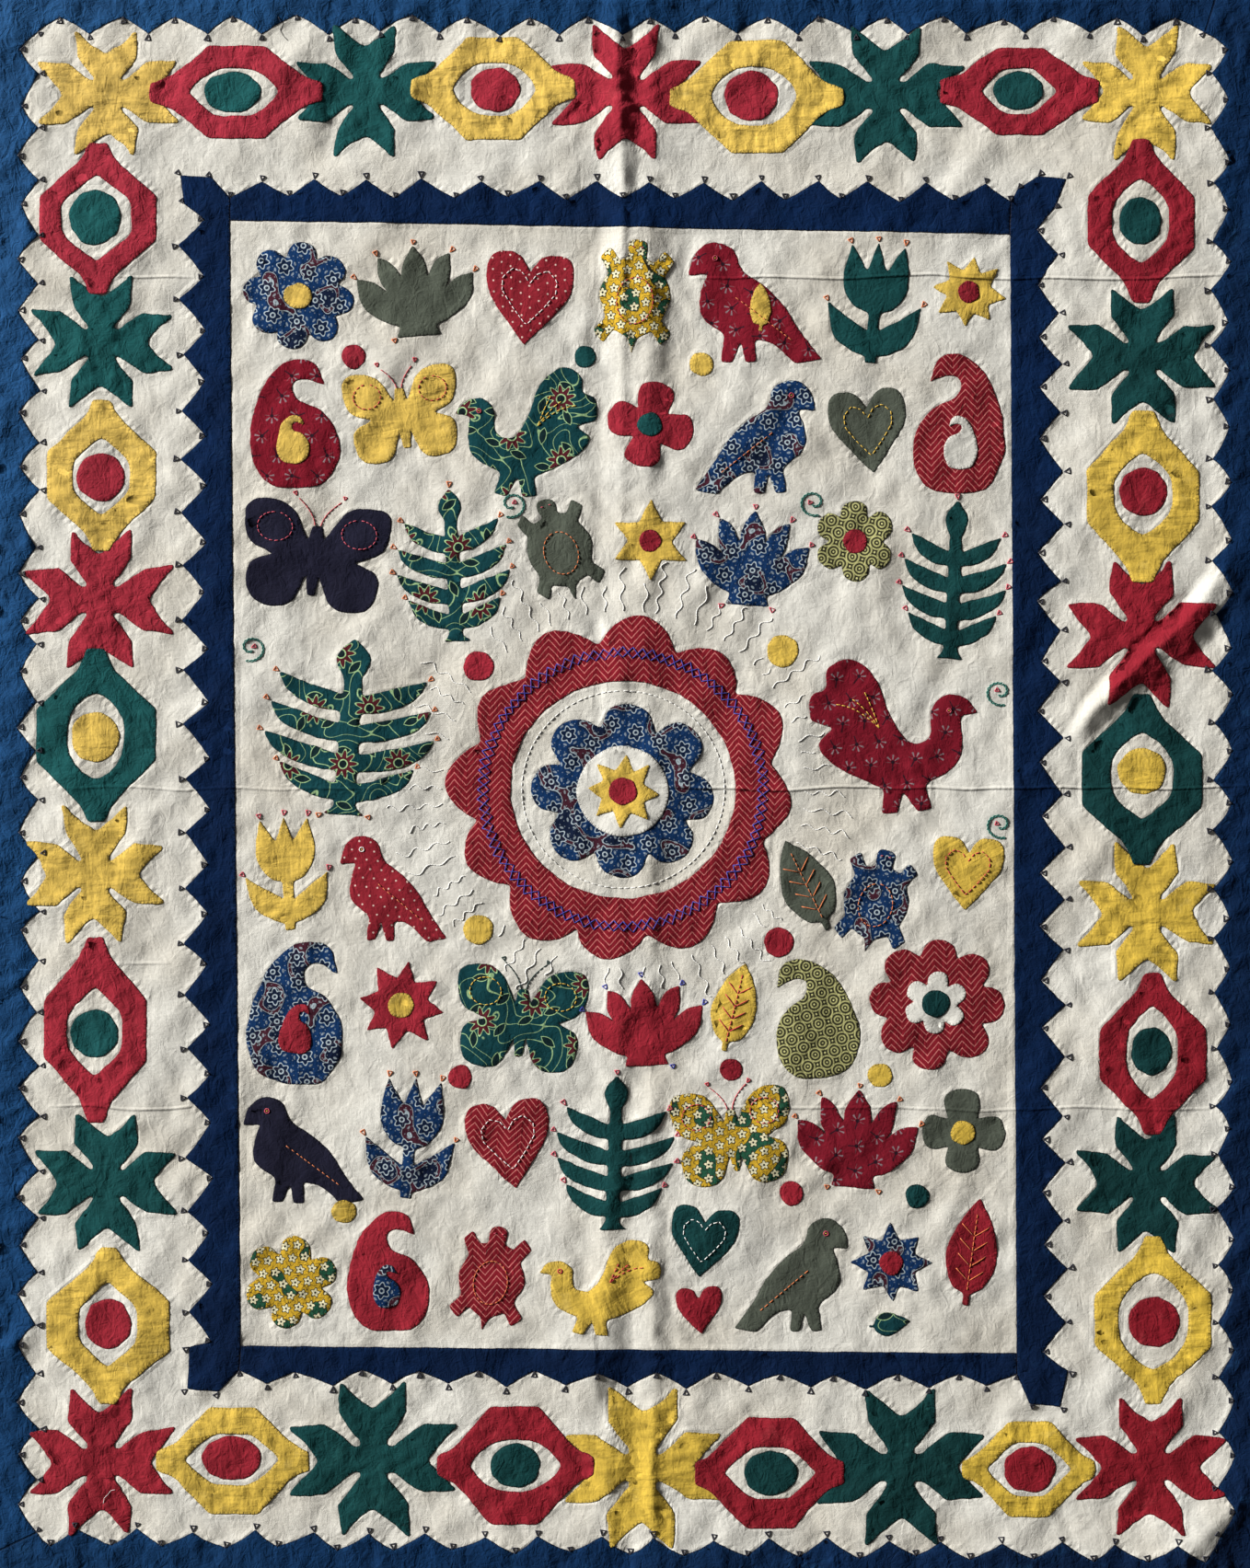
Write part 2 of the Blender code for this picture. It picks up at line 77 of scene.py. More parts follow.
# kind, colour, x, y, half width, half height; an eye also: opening half width,
# half height, disc colour, disc x, y, half width, half height
MOTIFS = [
    ("flower", "yellow", 117, 102, 77, 69),
    ("eye", "red", 257, 101, 94, 50, 48, 26, "green", 253, 101, 31, 22),
    ("flower", "green", 398, 100, 76, 72),
    ("eye", "yellow", 536, 97, 89, 56, 45, 29, "red", 538, 98, 27, 24),
    ("flower", "red", 680, 102, 82, 75),
    ("eye", "yellow", 822, 106, 94, 61, 46, 32, "red", 816, 105, 29, 27),
    ("flower", "green", 962, 104, 86, 75),
    ("eye", "red", 1107, 100, 86, 47, 40, 25, "green", 1106, 99, 27, 21),
    ("flower", "yellow", 1245, 101, 73, 75),
    ("eye", "red", 1239, 241, 58, 89, 31, 45, "green", 1238, 241, 23, 26),
    ("flower", "green", 1240, 388, 82, 75),
    ("eye", "yellow", 1241, 540, 61, 93, 32, 44, "red", 1241, 535, 26, 26),
    ("flower", "red", 1239, 690, 81, 80),
    ("eye", "green", 1240, 847, 65, 93, 34, 46, "yellow", 1240, 838, 26, 25),
    ("flower", "yellow", 1245, 992, 75, 77),
    ("eye", "red", 1252, 1145, 58, 88, 28, 50, "green", 1250, 1142, 22, 26),
    ("flower", "green", 1245, 1286, 77, 75),
    ("eye", "yellow", 1252, 1434, 63, 91, 38, 52, "red", 1253, 1436, 28, 27),
    ("flower", "red", 1249, 1593, 83, 77),
    ("eye", "yellow", 1117, 1596, 72, 52, 45, 29, "red", 1118, 1596, 28, 25),
    ("flower", "green", 978, 1594, 92, 86),
    ("eye", "red", 836, 1600, 81, 60, 49, 28, "green", 837, 1600, 29, 24),
    ("flower", "yellow", 698, 1594, 86, 88),
    ("eye", "red", 560, 1592, 85, 64, 49, 28, "green", 560, 1592, 27, 24),
    ("flower", "green", 406, 1585, 92, 84),
    ("eye", "yellow", 253, 1587, 83, 58, 50, 28, "red", 252, 1584, 32, 24),
    ("flower", "red", 110, 1588, 80, 80),
    ("eye", "yellow", 118, 1440, 67, 85, 32, 45, "red", 118, 1438, 25, 27),
    ("flower", "green", 116, 1285, 78, 75),
    ("eye", "red", 104, 1119, 56, 101, 30, 47, "green", 103, 1123, 26, 26),
    ("flower", "yellow", 104, 950, 76, 75),
    ("eye", "green", 105, 799, 65, 94, 31, 46, "yellow", 104, 801, 26, 27),
    ("flower", "red", 109, 652, 83, 77),
    ("eye", "yellow", 111, 517, 59, 82, 31, 41, "red", 110, 519, 26, 26),
    ("flower", "green", 111, 373, 77, 73),
    ("eye", "red", 107, 238, 63, 82, 38, 46, "green", 104, 237, 28, 30),
]
CENTRE_FOLD = [
    (-16, (636, 0), (650, -0.5), (660, 1.8), (671, 3.2), (683, 0.3), (706, 2.0), (722, 0.2), (732, 0)),
    (30, (634, 0), (649, -0.6), (660, 2.0), (671, 3.8), (685, 0.2), (706, 2.2), (721, 0.4), (732, 0)),
    (80, (634, 0), (648, -0.8), (660, 2.6), (671, 5.6), (690, 0.0), (708, 2.6), (719, 0.8), (730, 0)),
    (178, (622, 0), (650, -1.0), (664, 2.2), (677, 5.6), (694, 0.4), (714, 1.4), (724, 0.4), (738, 0)),
    (230, (634, 0), (652, -1.0), (664, 2.0), (677, 5.4), (687, 2.0), (704, 3.2), (722, 1.0), (736, 0)),
    (262, (626, 0), (652, -1.2), (664, 1.8), (677, 5.6), (683, 3.6), (706, 5.2), (727, 0.6), (742, 0)),
    (420, (636, 0), (652, -0.7), (664, 1.2), (676, 3.0), (684, 1.8), (704, 2.8), (724, 0.3), (740, 0)),
    (560, (640, 0), (652, -0.4), (664, 0.8), (675, 1.8), (685, 0.9), (704, 1.5), (724, 0.2), (738, 0)),
    (800, (640, 0), (652, -0.3), (664, 0.6), (675, 1.3), (685, 0.7), (704, 1.1), (724, 0.2), (738, 0)),
    (1060, (634, 0), (648, 0.0), (660, 0.9), (672, 1.6), (686, 0.4), (706, 1.4), (722, 0.3), (734, 0)),
    (1380, (620, 0), (636, 0.4), (650, 2.2), (660, 3.0), (686, 0.2), (708, 2.8), (724, 0.0), (740, 0)),
    (1505, (590, 0), (646, 3.2), (664, 1.0), (676, 0.2), (687, -1.0), (713, 2.2), (734, -1.0), (752, 0)),
    (1600, (626, 0), (640, 0.4), (658, 4.6), (672, 2.4), (689, -0.6), (707, 3.8), (719, 1.0), (732, 0)),
    (1700, (600, 0), (640, 1.8), (668, 0.4), (684, -1.4), (706, 2.2), (714, 1.6), (724, -0.6), (734, 0)),
    (1730, (600, 0), (640, 1.8), (668, 0.4), (684, -1.4), (706, 2.2), (714, 1.6), (724, -0.6), (734, 0)),
]
SIDE_FOLDS = [
    [
        (1142, 826, 0.0, 9, 14),
        (1170, 797, 2.6, 8, 10),
        (1187, 771, 5.0, 8, 14),
        (1211, 746, 6.8, 7.5, 20),
        (1254, 705, 7.0, 7.5, 24),
        (1277, 685, 7.0, 7.5, 24),
        (1300, 659, 6.4, 7.5, 22),
        (1322, 628, 4.4, 9, 22),
        (1345, 590, 2.6, 12, 22),
        (1392, 520, 0.8, 14, 20),
    ],
    [
        (1250, 1735, 4.0, 52, 26),
        (1292, 1684, 6.5, 56, 28),
        (1336, 1638, 6.8, 56, 28),
        (1392, 1590, 4.5, 52, 26),
    ],
]
# Fine creases: height mm (a trough is below 0), width mm, then points.
CREASES = [
    (0.55, 1.5, [(735, 299), (860, 300), (1000, 298), (1120, 300), (1345, 298)]),
    (0.40, 1.5, [(118, 301), (165, 302), (228, 301)]),
    (0.60, 1.7, [(700, 858), (860, 856), (1040, 857), (1180, 856), (1350, 858)]),
    (0.35, 1.6, [(60, 858), (250, 857), (420, 858)]),
    (0.50, 2.0, [(126, 1052), (160, 1047), (196, 1038)]),
    (0.40, 1.8, [(50, 1203), (130, 1199), (222, 1203)]),
    (0.35, 1.6, [(720, 1204), (900, 1201), (1110, 1204), (1330, 1202)]),
    (0.45, 1.6, [(1196, 1150), (1240, 1160), (1320, 1158)]),
    (0.55, 1.8, [(700, 330), (724, 296), (742, 268)]),
    (0.50, 2.0, [(640, 610), (662, 700), (655, 800), (668, 930)]),
    (0.45, 2.2, [(700, 880), (712, 980), (706, 1050)]),
    (-1.60, 2.6, [(1150, 806), (1164, 789), (1176, 760), (1201, 735), (1243, 694), (1267, 674), (1290, 648), (1310, 618)]),
    (0.40, 1.8, [(1150, 1410), (1176, 1440), (1198, 1492)]),
    (0.35, 1.4, [(1300, 1470), (1312, 1500), (1330, 1530)]),
    (0.40, 2.0, [(560, 1120), (588, 1180), (596, 1250)]),
    (0.45, 2.4, [(230, 1180), (212, 1100), (226, 1010)]),
    (0.30, 1.6, [(480, 600), (520, 640), (566, 660)]),
    (0.40, 2.0, [(30, 1330), (84, 1352), (150, 1350)]),
    (0.30, 1.8, [(300, 190), (420, 178), (560, 186)]),
]


def place(x, y):
    """Layout units to millimetres of the frame."""
    return ((x - MIDDLE[0]) * UNIT, (MIDDLE[1] - y) * UNIT)


def mm_of(points):
    a = np.asarray(points, float)
    return np.column_stack(((a[:, 0] - MIDDLE[0]) * UNIT, (MIDDLE[1] - a[:, 1]) * UNIT))


# ------------------------------------------------------------- height field
X0, Y0, NX, NY = -496.0, -616.0, 993, 1233  # a 1 mm grid over the cloth
GX, GY = np.meshgrid(X0 + np.arange(NX), Y0 + np.arange(NY))
FX, FY = np.fft.rfftfreq(NX)[None, :], np.fft.fftfreq(NY)[:, None]


def blur(a, size):
    k = np.exp(-2 * (math.pi * size) ** 2 * (FX**2 + FY**2))
    return np.fft.irfft2(np.fft.rfft2(a) * k, (NY, NX))


def grain(seed, lo, hi, stretch=1.0, angle=0.0):
    """Even random relief with wavelengths between lo and hi mm, drawn out
    along the angle by the stretch."""
    white = np.random.default_rng(seed).standard_normal((NY, NX))
    c, s = math.cos(angle), math.sin(angle)
    f = np.hypot((FX * c + FY * s) * stretch, FY * c - FX * s)
    f = np.maximum(f, 1e-6) * math.sqrt(lo * hi)
    band = np.exp(-((np.log(f) / (0.55 * math.log(hi / lo))) ** 2))
    out = np.fft.irfft2(np.fft.rfft2(white) * band, (NY, NX))
    return out / out.std()


def sample(field, x, y):
    u = np.clip((np.asarray(x) - X0), 0, NX - 1.001)
    v = np.clip((np.asarray(y) - Y0), 0, NY - 1.001)
    i, j = u.astype(int), v.astype(int)
    u, v = u - i, v - j
    return (field[j, i] * (1 - u) + field[j, i + 1] * u) * (1 - v) + (
        field[j + 1, i] * (1 - u) + field[j + 1, i + 1] * u
    ) * v


def big_folds():
    """The folds of the part: the centre fold's sections and the side folds."""
    rows = sorted((place(0, y)[1], [p[0] for p in line], [p[1] for p in line]) for y, *line in CENTRE_FOLD)
    ys = np.array([r[0] for r in rows])
    xs = (np.array([r[1] for r in rows], float) - MIDDLE[0]) * UNIT
    hs = np.array([r[2] for r in rows], float)
    out = np.zeros((NY, NX))
    line = X0 + np.arange(NX)
    for j in range(NY):
        y = Y0 + j
        at = [np.interp(y, ys, xs[:, k]) for k in range(8)]
        high = [np.interp(y, ys, hs[:, k]) for k in range(8)]
        out[j] = np.interp(line, at, high)
    out = blur(out, 1.25)
    side = np.zeros((NY, NX))
    for fold in SIDE_FOLDS:
        for a, b in zip(fold, fold[1:]):
            (ax, ay), (bx, by) = place(a[0], a[1]), place(b[0], b[1])
            ux, uy = bx - ax, by - ay
            size = math.hypot(ux, uy)
            t = ((GX - ax) * ux + (GY - ay) * uy) / size**2
            off = ((GX - ax) * -uy + (GY - ay) * ux) / size
            ok = (t > -0.12) & (t < 1.12)
            tt = np.clip(t, 0, 1)
            reach = np.where(off > 0, a[3] + (b[3] - a[3]) * tt, a[4] + (b[4] - a[4]) * tt)
            high = a[2] + (b[2] - a[2]) * tt
            side = np.maximum(side, np.where(ok, high * (1 - np.abs(off) / reach), 0))
    return out + blur(side, 1.0)


def creases():
    out = np.zeros((NY, NX))
    for high, wide, points in CREASES:
        pts = mm_of(points)
        total = np.linalg.norm(np.diff(pts, axis=0), axis=1).sum()
        run = 0.0
        best = np.zeros((NY, NX))
        for (ax, ay), (bx, by) in zip(pts, pts[1:]):
            ux, uy = bx - ax, by - ay
            size = math.hypot(ux, uy)
            t = np.clip(((GX - ax) * ux + (GY - ay) * uy) / size**2, 0, 1)
            d = np.hypot(GX - ax - ux * t, GY - ay - uy * t)
            along = (run + t * size) / total
            fade = np.clip(4.5 * np.minimum(along, 1 - along), 0, 1) ** 0.8
            best = np.maximum(best, fade * np.exp(-((d / wide) ** 2)))
            run += size
        out += high * best
    return out


FOLDS = big_folds()
DRAPE = 0.55 * grain(3, 120, 330, 1.5, 1.35) + 0.42 * grain(5, 55, 120, 2.0, 1.2)
CRUMPLE = (
    0.38 * grain(8, 24, 50, 2.0, 0.9)
    + 0.29 * grain(9, 12, 24, 2.2, -0.8)
    + 0.12 * grain(10, 8, 15, 2.0, 0.5)
)
BASE = np.maximum(0.6, 1.3 + FOLDS + np.maximum(0, 0.9 + DRAPE) + creases() + CRUMPLE)
LIFT = np.zeros((NY, NX))  # what is laid on the ground so far
CALM = blur(BASE, 0.8)
BENT = np.abs(
    np.roll(CALM, 1, 0) + np.roll(CALM, -1, 0) + np.roll(CALM, 1, 1) + np.roll(CALM, -1, 1) - 4 * CALM
)
TIGHT = blur((BENT > 0.12).astype(float), 2.0)  # where the meshes are finer


# ------------------------------------------------------------- plane shapes
def teeth(rng, along, start, end, tip, notch, lean, count):
    out = []
    last = 2 * (count - 1)
    for k in range(last + 1):
        t = k / last
        at, off = start + (end - start) * t, (notch if k % 2 else tip) + lean * t
        if 0 < k < last:
            at, off = at + rng.uniform(-5, 5), off + rng.uniform(-2.5, 2.5)
        out.append((at, off) if along == "x" else (off, at))
    return out


def cloth_edges():
    """How far each side strays inward, as (along, off) rows: bottom, right,
    top, left."""
    rng = random.Random(4)
    sides = []
    for size in (CLOTH_W, CLOTH_H, CLOTH_W, CLOTH_H):
        steps = round(size / EDGE_STEP)
        row = []
        for k in range(steps):
            off = 0.0 if k % 3 == 0 else rng.uniform(0.3, 1.0) * EDGE_WAVER
            row.append((size * k / steps + (rng.uniform(-14, 14) if k else 0.0), off))
        row.append((size, 0.0))
        sides.append(row)
    return sides


SIDES = cloth_edges()


def flower_points(rng, half_w, half_h):
    """The arms' corners as the part has them: 8 rows an arm, in arm axes."""
    arms = []
    reach = [half_w, half_h, half_w, half_h]
    for arm in range(4):
        far = reach[arm]
        side = 0.33 * (half_w + half_h) / 2 + 8
        row = [
            (0.21 * far, -13.5),
            (0.57 * far, -side),
            (1.00 * far, -side * 0.95),
            (0.67 * far, 0.0),
            (1.00 * far, side * 0.95),
            (0.57 * far, side),
            (0.21 * far, 13.5),
            (14.0, 14.0),
        ]
        got = []
        for k, (u, v) in enumerate(row):
            if k in (1, 3, 5):
                u, v = u + rng.uniform(-2.5, 2.5), v + rng.uniform(-2, 2)
            if k in (2, 4):
                u, v = u - rng.uniform(0, 3.5), v + rng.uniform(-4, 4)
            got.append((u, v))
        arms.append(got)
    return arms


def eye_points(rng, half_w, half_h):
    upright = half_h > half_w
    a, b = (half_h, half_w) if upright else (half_w, half_h)
    tip, flat = rng.uniform(8, 12), a * 0.31
    loop = []
    for sa, sb in ((1, 1), (-1, 1), (-1, -1), (1, -1)):
        bit = [(a, tip, 0), (a * 0.77, tip + (b - tip) * 0.17, 1), (flat, b, 2)]
        if sa * sb < 0:
            bit = bit[::-1]
        for u, v, kind in bit:
            jog = 0 if u == a else rng.uniform(-2, 2)
            loop.append((sa * (u + jog), sb * v, kind))
    return [(-v, u, k) for u, v, k in loop] if upright else loop


def traced_by_nodes(nodes, step=3.4):
    """A closed line through nodes (x, y, corner size, bow of the edge that
    follows), with rounded corners and bowed edges."""
    n = len(nodes)
    p = [np.array(q[:2], float) for q in nodes]
    cut_in, cut_out = [], []
    for i in range(n):
        before, after = p[i - 1] - p[i], p[(i + 1) % n] - p[i]
        lb, la = np.linalg.norm(before), np.linalg.norm(after)
        r = nodes[i][2]
        cut_in.append(p[i] + before / lb * min(r, 0.46 * lb))
        cut_out.append(p[i] + after / la * min(r, 0.46 * la))
    out = []
    for i in range(n):
        r = np.linalg.norm(cut_in[i] - p[i])
        m = max(1, int(math.ceil(r / 1.7)))
        for k in range(m + 1):
            t = k / m if m else 0
            out.append((1 - t) ** 2 * cut_in[i] + 2 * t * (1 - t) * p[i] + t * t * cut_out[i])
        a, b = cut_out[i], cut_in[(i + 1) % n]
        size = np.linalg.norm(b - a)
        m = max(1, int(round(size / step)))
        bow = nodes[i][3] if len(nodes[i]) > 3 else 0.0
        across = np.array([-(b - a)[1], (b - a)[0]]) / max(size, 1e-6)
        for k in range(1, m):
            t = k / m
            out.append(a + (b - a) * t + across * bow * 4 * t * (1 - t))
    kept = [out[0]]
    for q in out[1:]:
        if np.linalg.norm(q - kept[-1]) > 0.55:
            kept.append(q)
    if np.linalg.norm(kept[0] - kept[-1]) < 0.55:
        kept.pop()
    return np.array(kept)


def signed_area(loop):
    x, y = loop[:, 0], loop[:, 1]
    return 0.5 * float(np.sum(x * np.roll(y, -1) - np.roll(x, -1) * y))


def inside(points, loops):
    """Even-odd test of points against all the loops."""
    a = np.concatenate(loops)
    b = np.concatenate([np.roll(l, -1, 0) for l in loops])
    lo_y, hi_y = np.minimum(a[:, 1], b[:, 1]), np.maximum(a[:, 1], b[:, 1])
    hit = np.zeros(len(points), bool)
    order = np.argsort(points[:, 1], kind="stable")
    for group in np.array_split(order, max(1, len(points) // 200)):
        if not len(group):
            continue
        p = points[group]
        k = np.flatnonzero((hi_y >= p[0, 1]) & (lo_y <= p[-1, 1]))
        if not len(k):
            continue
        ax, ay, bx, by = a[k, 0], a[k, 1], b[k, 0], b[k, 1]
        ys = p[:, 1][:, None]
        cross = (ay[None] > ys) != (by[None] > ys)
        dy = np.where(by == ay, 1e-12, by - ay)
        at = ax[None] + (ys - ay[None]) * ((bx - ax) / dy)[None]
        hit[group] = np.sum(cross & (p[:, 0][:, None] < at), axis=1) % 2 == 1
    return hit


FAR = 14.0  # distances past this many mm aren't needed


def nearest(points, loops):
    """Distance to the closest loop, up to FAR, and the arc length there."""
    a = np.concatenate(loops)
    b = np.concatenate([np.roll(l, -1, 0) for l in loops])
    v = b - a
    size = np.linalg.norm(v, axis=1)
    start = np.concatenate([[0], np.cumsum(size)[:-1]])
    out_d, out_s = np.full(len(points), FAR), np.zeros(len(points))
    tile = 32.0
    cell = np.floor(points / tile).astype(int)
    key = cell[:, 0] * 10000 + cell[:, 1]
    order = np.argsort(key, kind="stable")
    cuts = np.flatnonzero(np.diff(key[order])) + 1
    lo_s, hi_s = np.minimum(a, b), np.maximum(a, b)
    for group in np.split(order, cuts):
        if not len(group):
            continue
        p = points[group]
        lo, hi = p.min(0) - FAR, p.max(0) + FAR
        near_by = np.flatnonzero(np.all((hi_s > lo) & (lo_s < hi), axis=1))
        if not len(near_by):
            continue
        rx = p[:, None, 0] - a[None, near_by, 0]
        ry = p[:, None, 1] - a[None, near_by, 1]
        vx, vy = v[near_by, 0], v[near_by, 1]
        t = np.clip((rx * vx + ry * vy) / (size[near_by] ** 2 + 1e-12), 0, 1)
        d2 = (rx - t * vx) ** 2 + (ry - t * vy) ** 2
        i = np.argmin(d2, axis=1)
        rows = np.arange(len(p))
        d = np.sqrt(d2[rows, i])
        out_d[group] = np.minimum(d, FAR)
        out_s[group] = start[near_by[i]] + t[rows, i] * size[near_by[i]]
    return out_d, out_s


def mask(loops, i0, i1, j0, j1):
    """Which cells of the 1 mm grid lie within the loops."""
    out = np.zeros((j1 - j0, i1 - i0), bool)
    a = np.concatenate(loops)
    b = np.concatenate([np.roll(l, -1, 0) for l in loops])
    xs = X0 + np.arange(i0, i1)
    for j in range(j0, j1):
        y = Y0 + j + 1e-7
        k = np.flatnonzero((a[:, 1] > y) != (b[:, 1] > y))
        if not len(k):
            continue
        at = np.sort(a[k, 0] + (y - a[k, 1]) * (b[k, 0] - a[k, 0]) / (b[k, 1] - a[k, 1]))
        out[j - j0] = np.searchsorted(at, xs) % 2 == 1
    return out


def window(loops, room=4):
    lo = np.min([l.min(0) for l in loops], axis=0) - room
    hi = np.max([l.max(0) for l in loops], axis=0) + room
    i0, j0 = max(0, int(lo[0] - X0)), max(0, int(lo[1] - Y0))
    return i0, min(NX, int(hi[0] - X0) + 2), j0, min(NY, int(hi[1] - Y0) + 2)


def left_normals(loop):
    """Unit normals to the left of the way round, and the tangents."""
    t = np.roll(loop, -1, 0) - np.roll(loop, 1, 0)
    t /= np.maximum(np.linalg.norm(t, axis=1), 1e-9)[:, None]
    return np.column_stack((-t[:, 1], t[:, 0])), t


def noise_round(rng, s, total, wave, rows=5):
    """Smooth random values along a closed line of this length."""
    out = np.zeros_like(s)
    base = max(1, int(round(total / wave)))
    for _ in range(rows):
        k = max(1, base + rng.integers(-max(1, base // 3), max(1, base // 3) + 1))
        out += np.sin(2 * math.pi * (k * s / total) + rng.uniform(0, 2 * math.pi))
    return out / math.sqrt(rows / 2) * 0.7


def arcs(loop):
    d = np.linalg.norm(np.roll(loop, -1, 0) - loop, axis=1)
    return np.concatenate([[0], np.cumsum(d)[:-1]]), float(d.sum())


# ------------------------------------------------------------- mesh building
ROOT = []  # every piece, for the end


def make(name, verts, faces, material, smooth=True, uv=None, edge=None, run=None):
    mesh = bpy.data.meshes.new(name)
    mesh.from_pydata(verts, [], faces)
    mesh.materials.append(material)
    if uv is not None:
        layer = mesh.uv_layers.new(name="cloth")
        index = np.empty(len(mesh.loops), int)
        mesh.loops.foreach_get("vertex_index", index)
        layer.data.foreach_set("uv", np.asarray(uv, np.float32)[index].ravel())
    if edge is not None:
        layer = mesh.attributes.new("edge", "FLOAT", "POINT")
        layer.data.foreach_set("value", np.asarray(edge, np.float32))
    if run is not None:
        layer = mesh.attributes.new("run", "FLOAT", "POINT")
        layer.data.foreach_set("value", np.asarray(run, np.float32))
    if smooth:
        mesh.shade_smooth()
    mesh.update()
    thing = bpy.data.objects.new(name, mesh)
    bpy.context.scene.collection.objects.link(thing)
    ROOT.append(thing)
    return thing


def mesh_plane(loops, extra):
    """Outline and extra points triangulated inside the loops, all
    anticlockwise; the outline's points come first where none were merged."""
    pts = np.concatenate([*loops, extra] if len(extra) else list(loops))
    edges, n = [], 0
    for loop in loops:
        hi = n + len(loop)
        edges += [(i, i + 1 if i + 1 < hi else n) for i in range(n, hi)]
        n = hi
    verts, _, faces, *_ = delaunay_2d_cdt(
        [Vector((float(x), float(y))) for x, y in pts], edges, [], 0, 1e-5, False
    )
    flat = np.array([(v.x, v.y) for v in verts])
    tri = np.array([f for f in faces if len(f) == 3], int)
    tri = tri[inside(flat[tri].mean(axis=1), loops)]
    a, b, c = flat[tri[:, 0]], flat[tri[:, 1]], flat[tri[:, 2]]
    area = (b[:, 0] - a[:, 0]) * (c[:, 1] - a[:, 1]) - (c[:, 0] - a[:, 0]) * (b[:, 1] - a[:, 1])
    tri = tri[np.abs(area) > 1e-7]
    area = area[np.abs(area) > 1e-7]
    tri[area < 0] = tri[area < 0][:, [0, 2, 1]]
    return flat, tri


def rim_of(tri):
    """The directed edges that only one triangle has."""
    seen = {}
    for f in tri.tolist():
        for i, j in ((f[0], f[1]), (f[1], f[2]), (f[2], f[0])):
            if (j, i) in seen:
                del seen[(j, i)]
            else:
                seen[(i, j)] = True
    return list(seen)


def lattice(loops, gap, rng, jitter=0.16):
    lo = np.min([l.min(0) for l in loops], axis=0)
    hi = np.max([l.max(0) for l in loops], axis=0)
    xs = np.arange(lo[0] + gap * 0.4, hi[0], gap)
    ys = np.arange(lo[1] + gap * 0.4, hi[1], gap * 0.866)
    x, y = np.meshgrid(xs, ys)
    x = x + (np.arange(len(ys))[:, None] % 2) * gap * 0.5
    p = np.column_stack((x.ravel(), y.ravel()))
    p += rng.uniform(-jitter, jitter, p.shape) * gap
    i0, i1, j0, j1 = window(loops)
    m = mask(loops, i0, i1, j0, j1)
    i = np.clip(np.round(p[:, 0] - X0).astype(int) - i0, 0, i1 - i0 - 1)
    j = np.clip(np.round(p[:, 1] - Y0).astype(int) - j0, 0, j1 - j0 - 1)
    return p[m[j, i]]


def raise_lift(loops, thick):
    """Adds a piece's thickness to what later pieces lie on."""
    i0, i1, j0, j1 = window(loops)
    m = mask(loops, i0, i1, j0, j1).astype(float)
    for _ in range(2):
        m[:, 1:-1] = 0.25 * m[:, :-2] + 0.5 * m[:, 1:-1] + 0.25 * m[:, 2:]
        m[1:-1] = 0.25 * m[:-2] + 0.5 * m[1:-1] + 0.25 * m[2:]
    LIFT[j0:j1, i0:i1] += thick * m


def base_at(x, y):
    return sample(BASE, x, y) + sample(LIFT, x, y)


RIDGES = {}


def wrinkle_field(name):
    """Relief of wrinkled cloth, shared by the pieces of one colour."""
    if name not in RIDGES:
        if name == "border":
            # pulled across each side of the border
            up = grain(45, 9, 24, 2.8, math.pi / 2 + 0.15)
            flat = grain(46, 12, 30, 2.2, 0.55)
            part = np.clip((np.abs(GY) - 0.42 * CLOTH_H) / 14, 0, 1)
            RIDGES[name] = up * part + flat * (1 - part)
        else:
            seed, angle = {"y0": (41, 0.0), "y1": (42, math.pi / 2), "p0": (43, 0.6), "p1": (44, -0.5)}[name]
            RIDGES[name] = grain(seed, 6.5, 15, 3.2 if name[0] == "y" else 1.7, angle)
    return RIDGES[name]


STITCHES = {}  # thread colour -> list of (a, b) ends


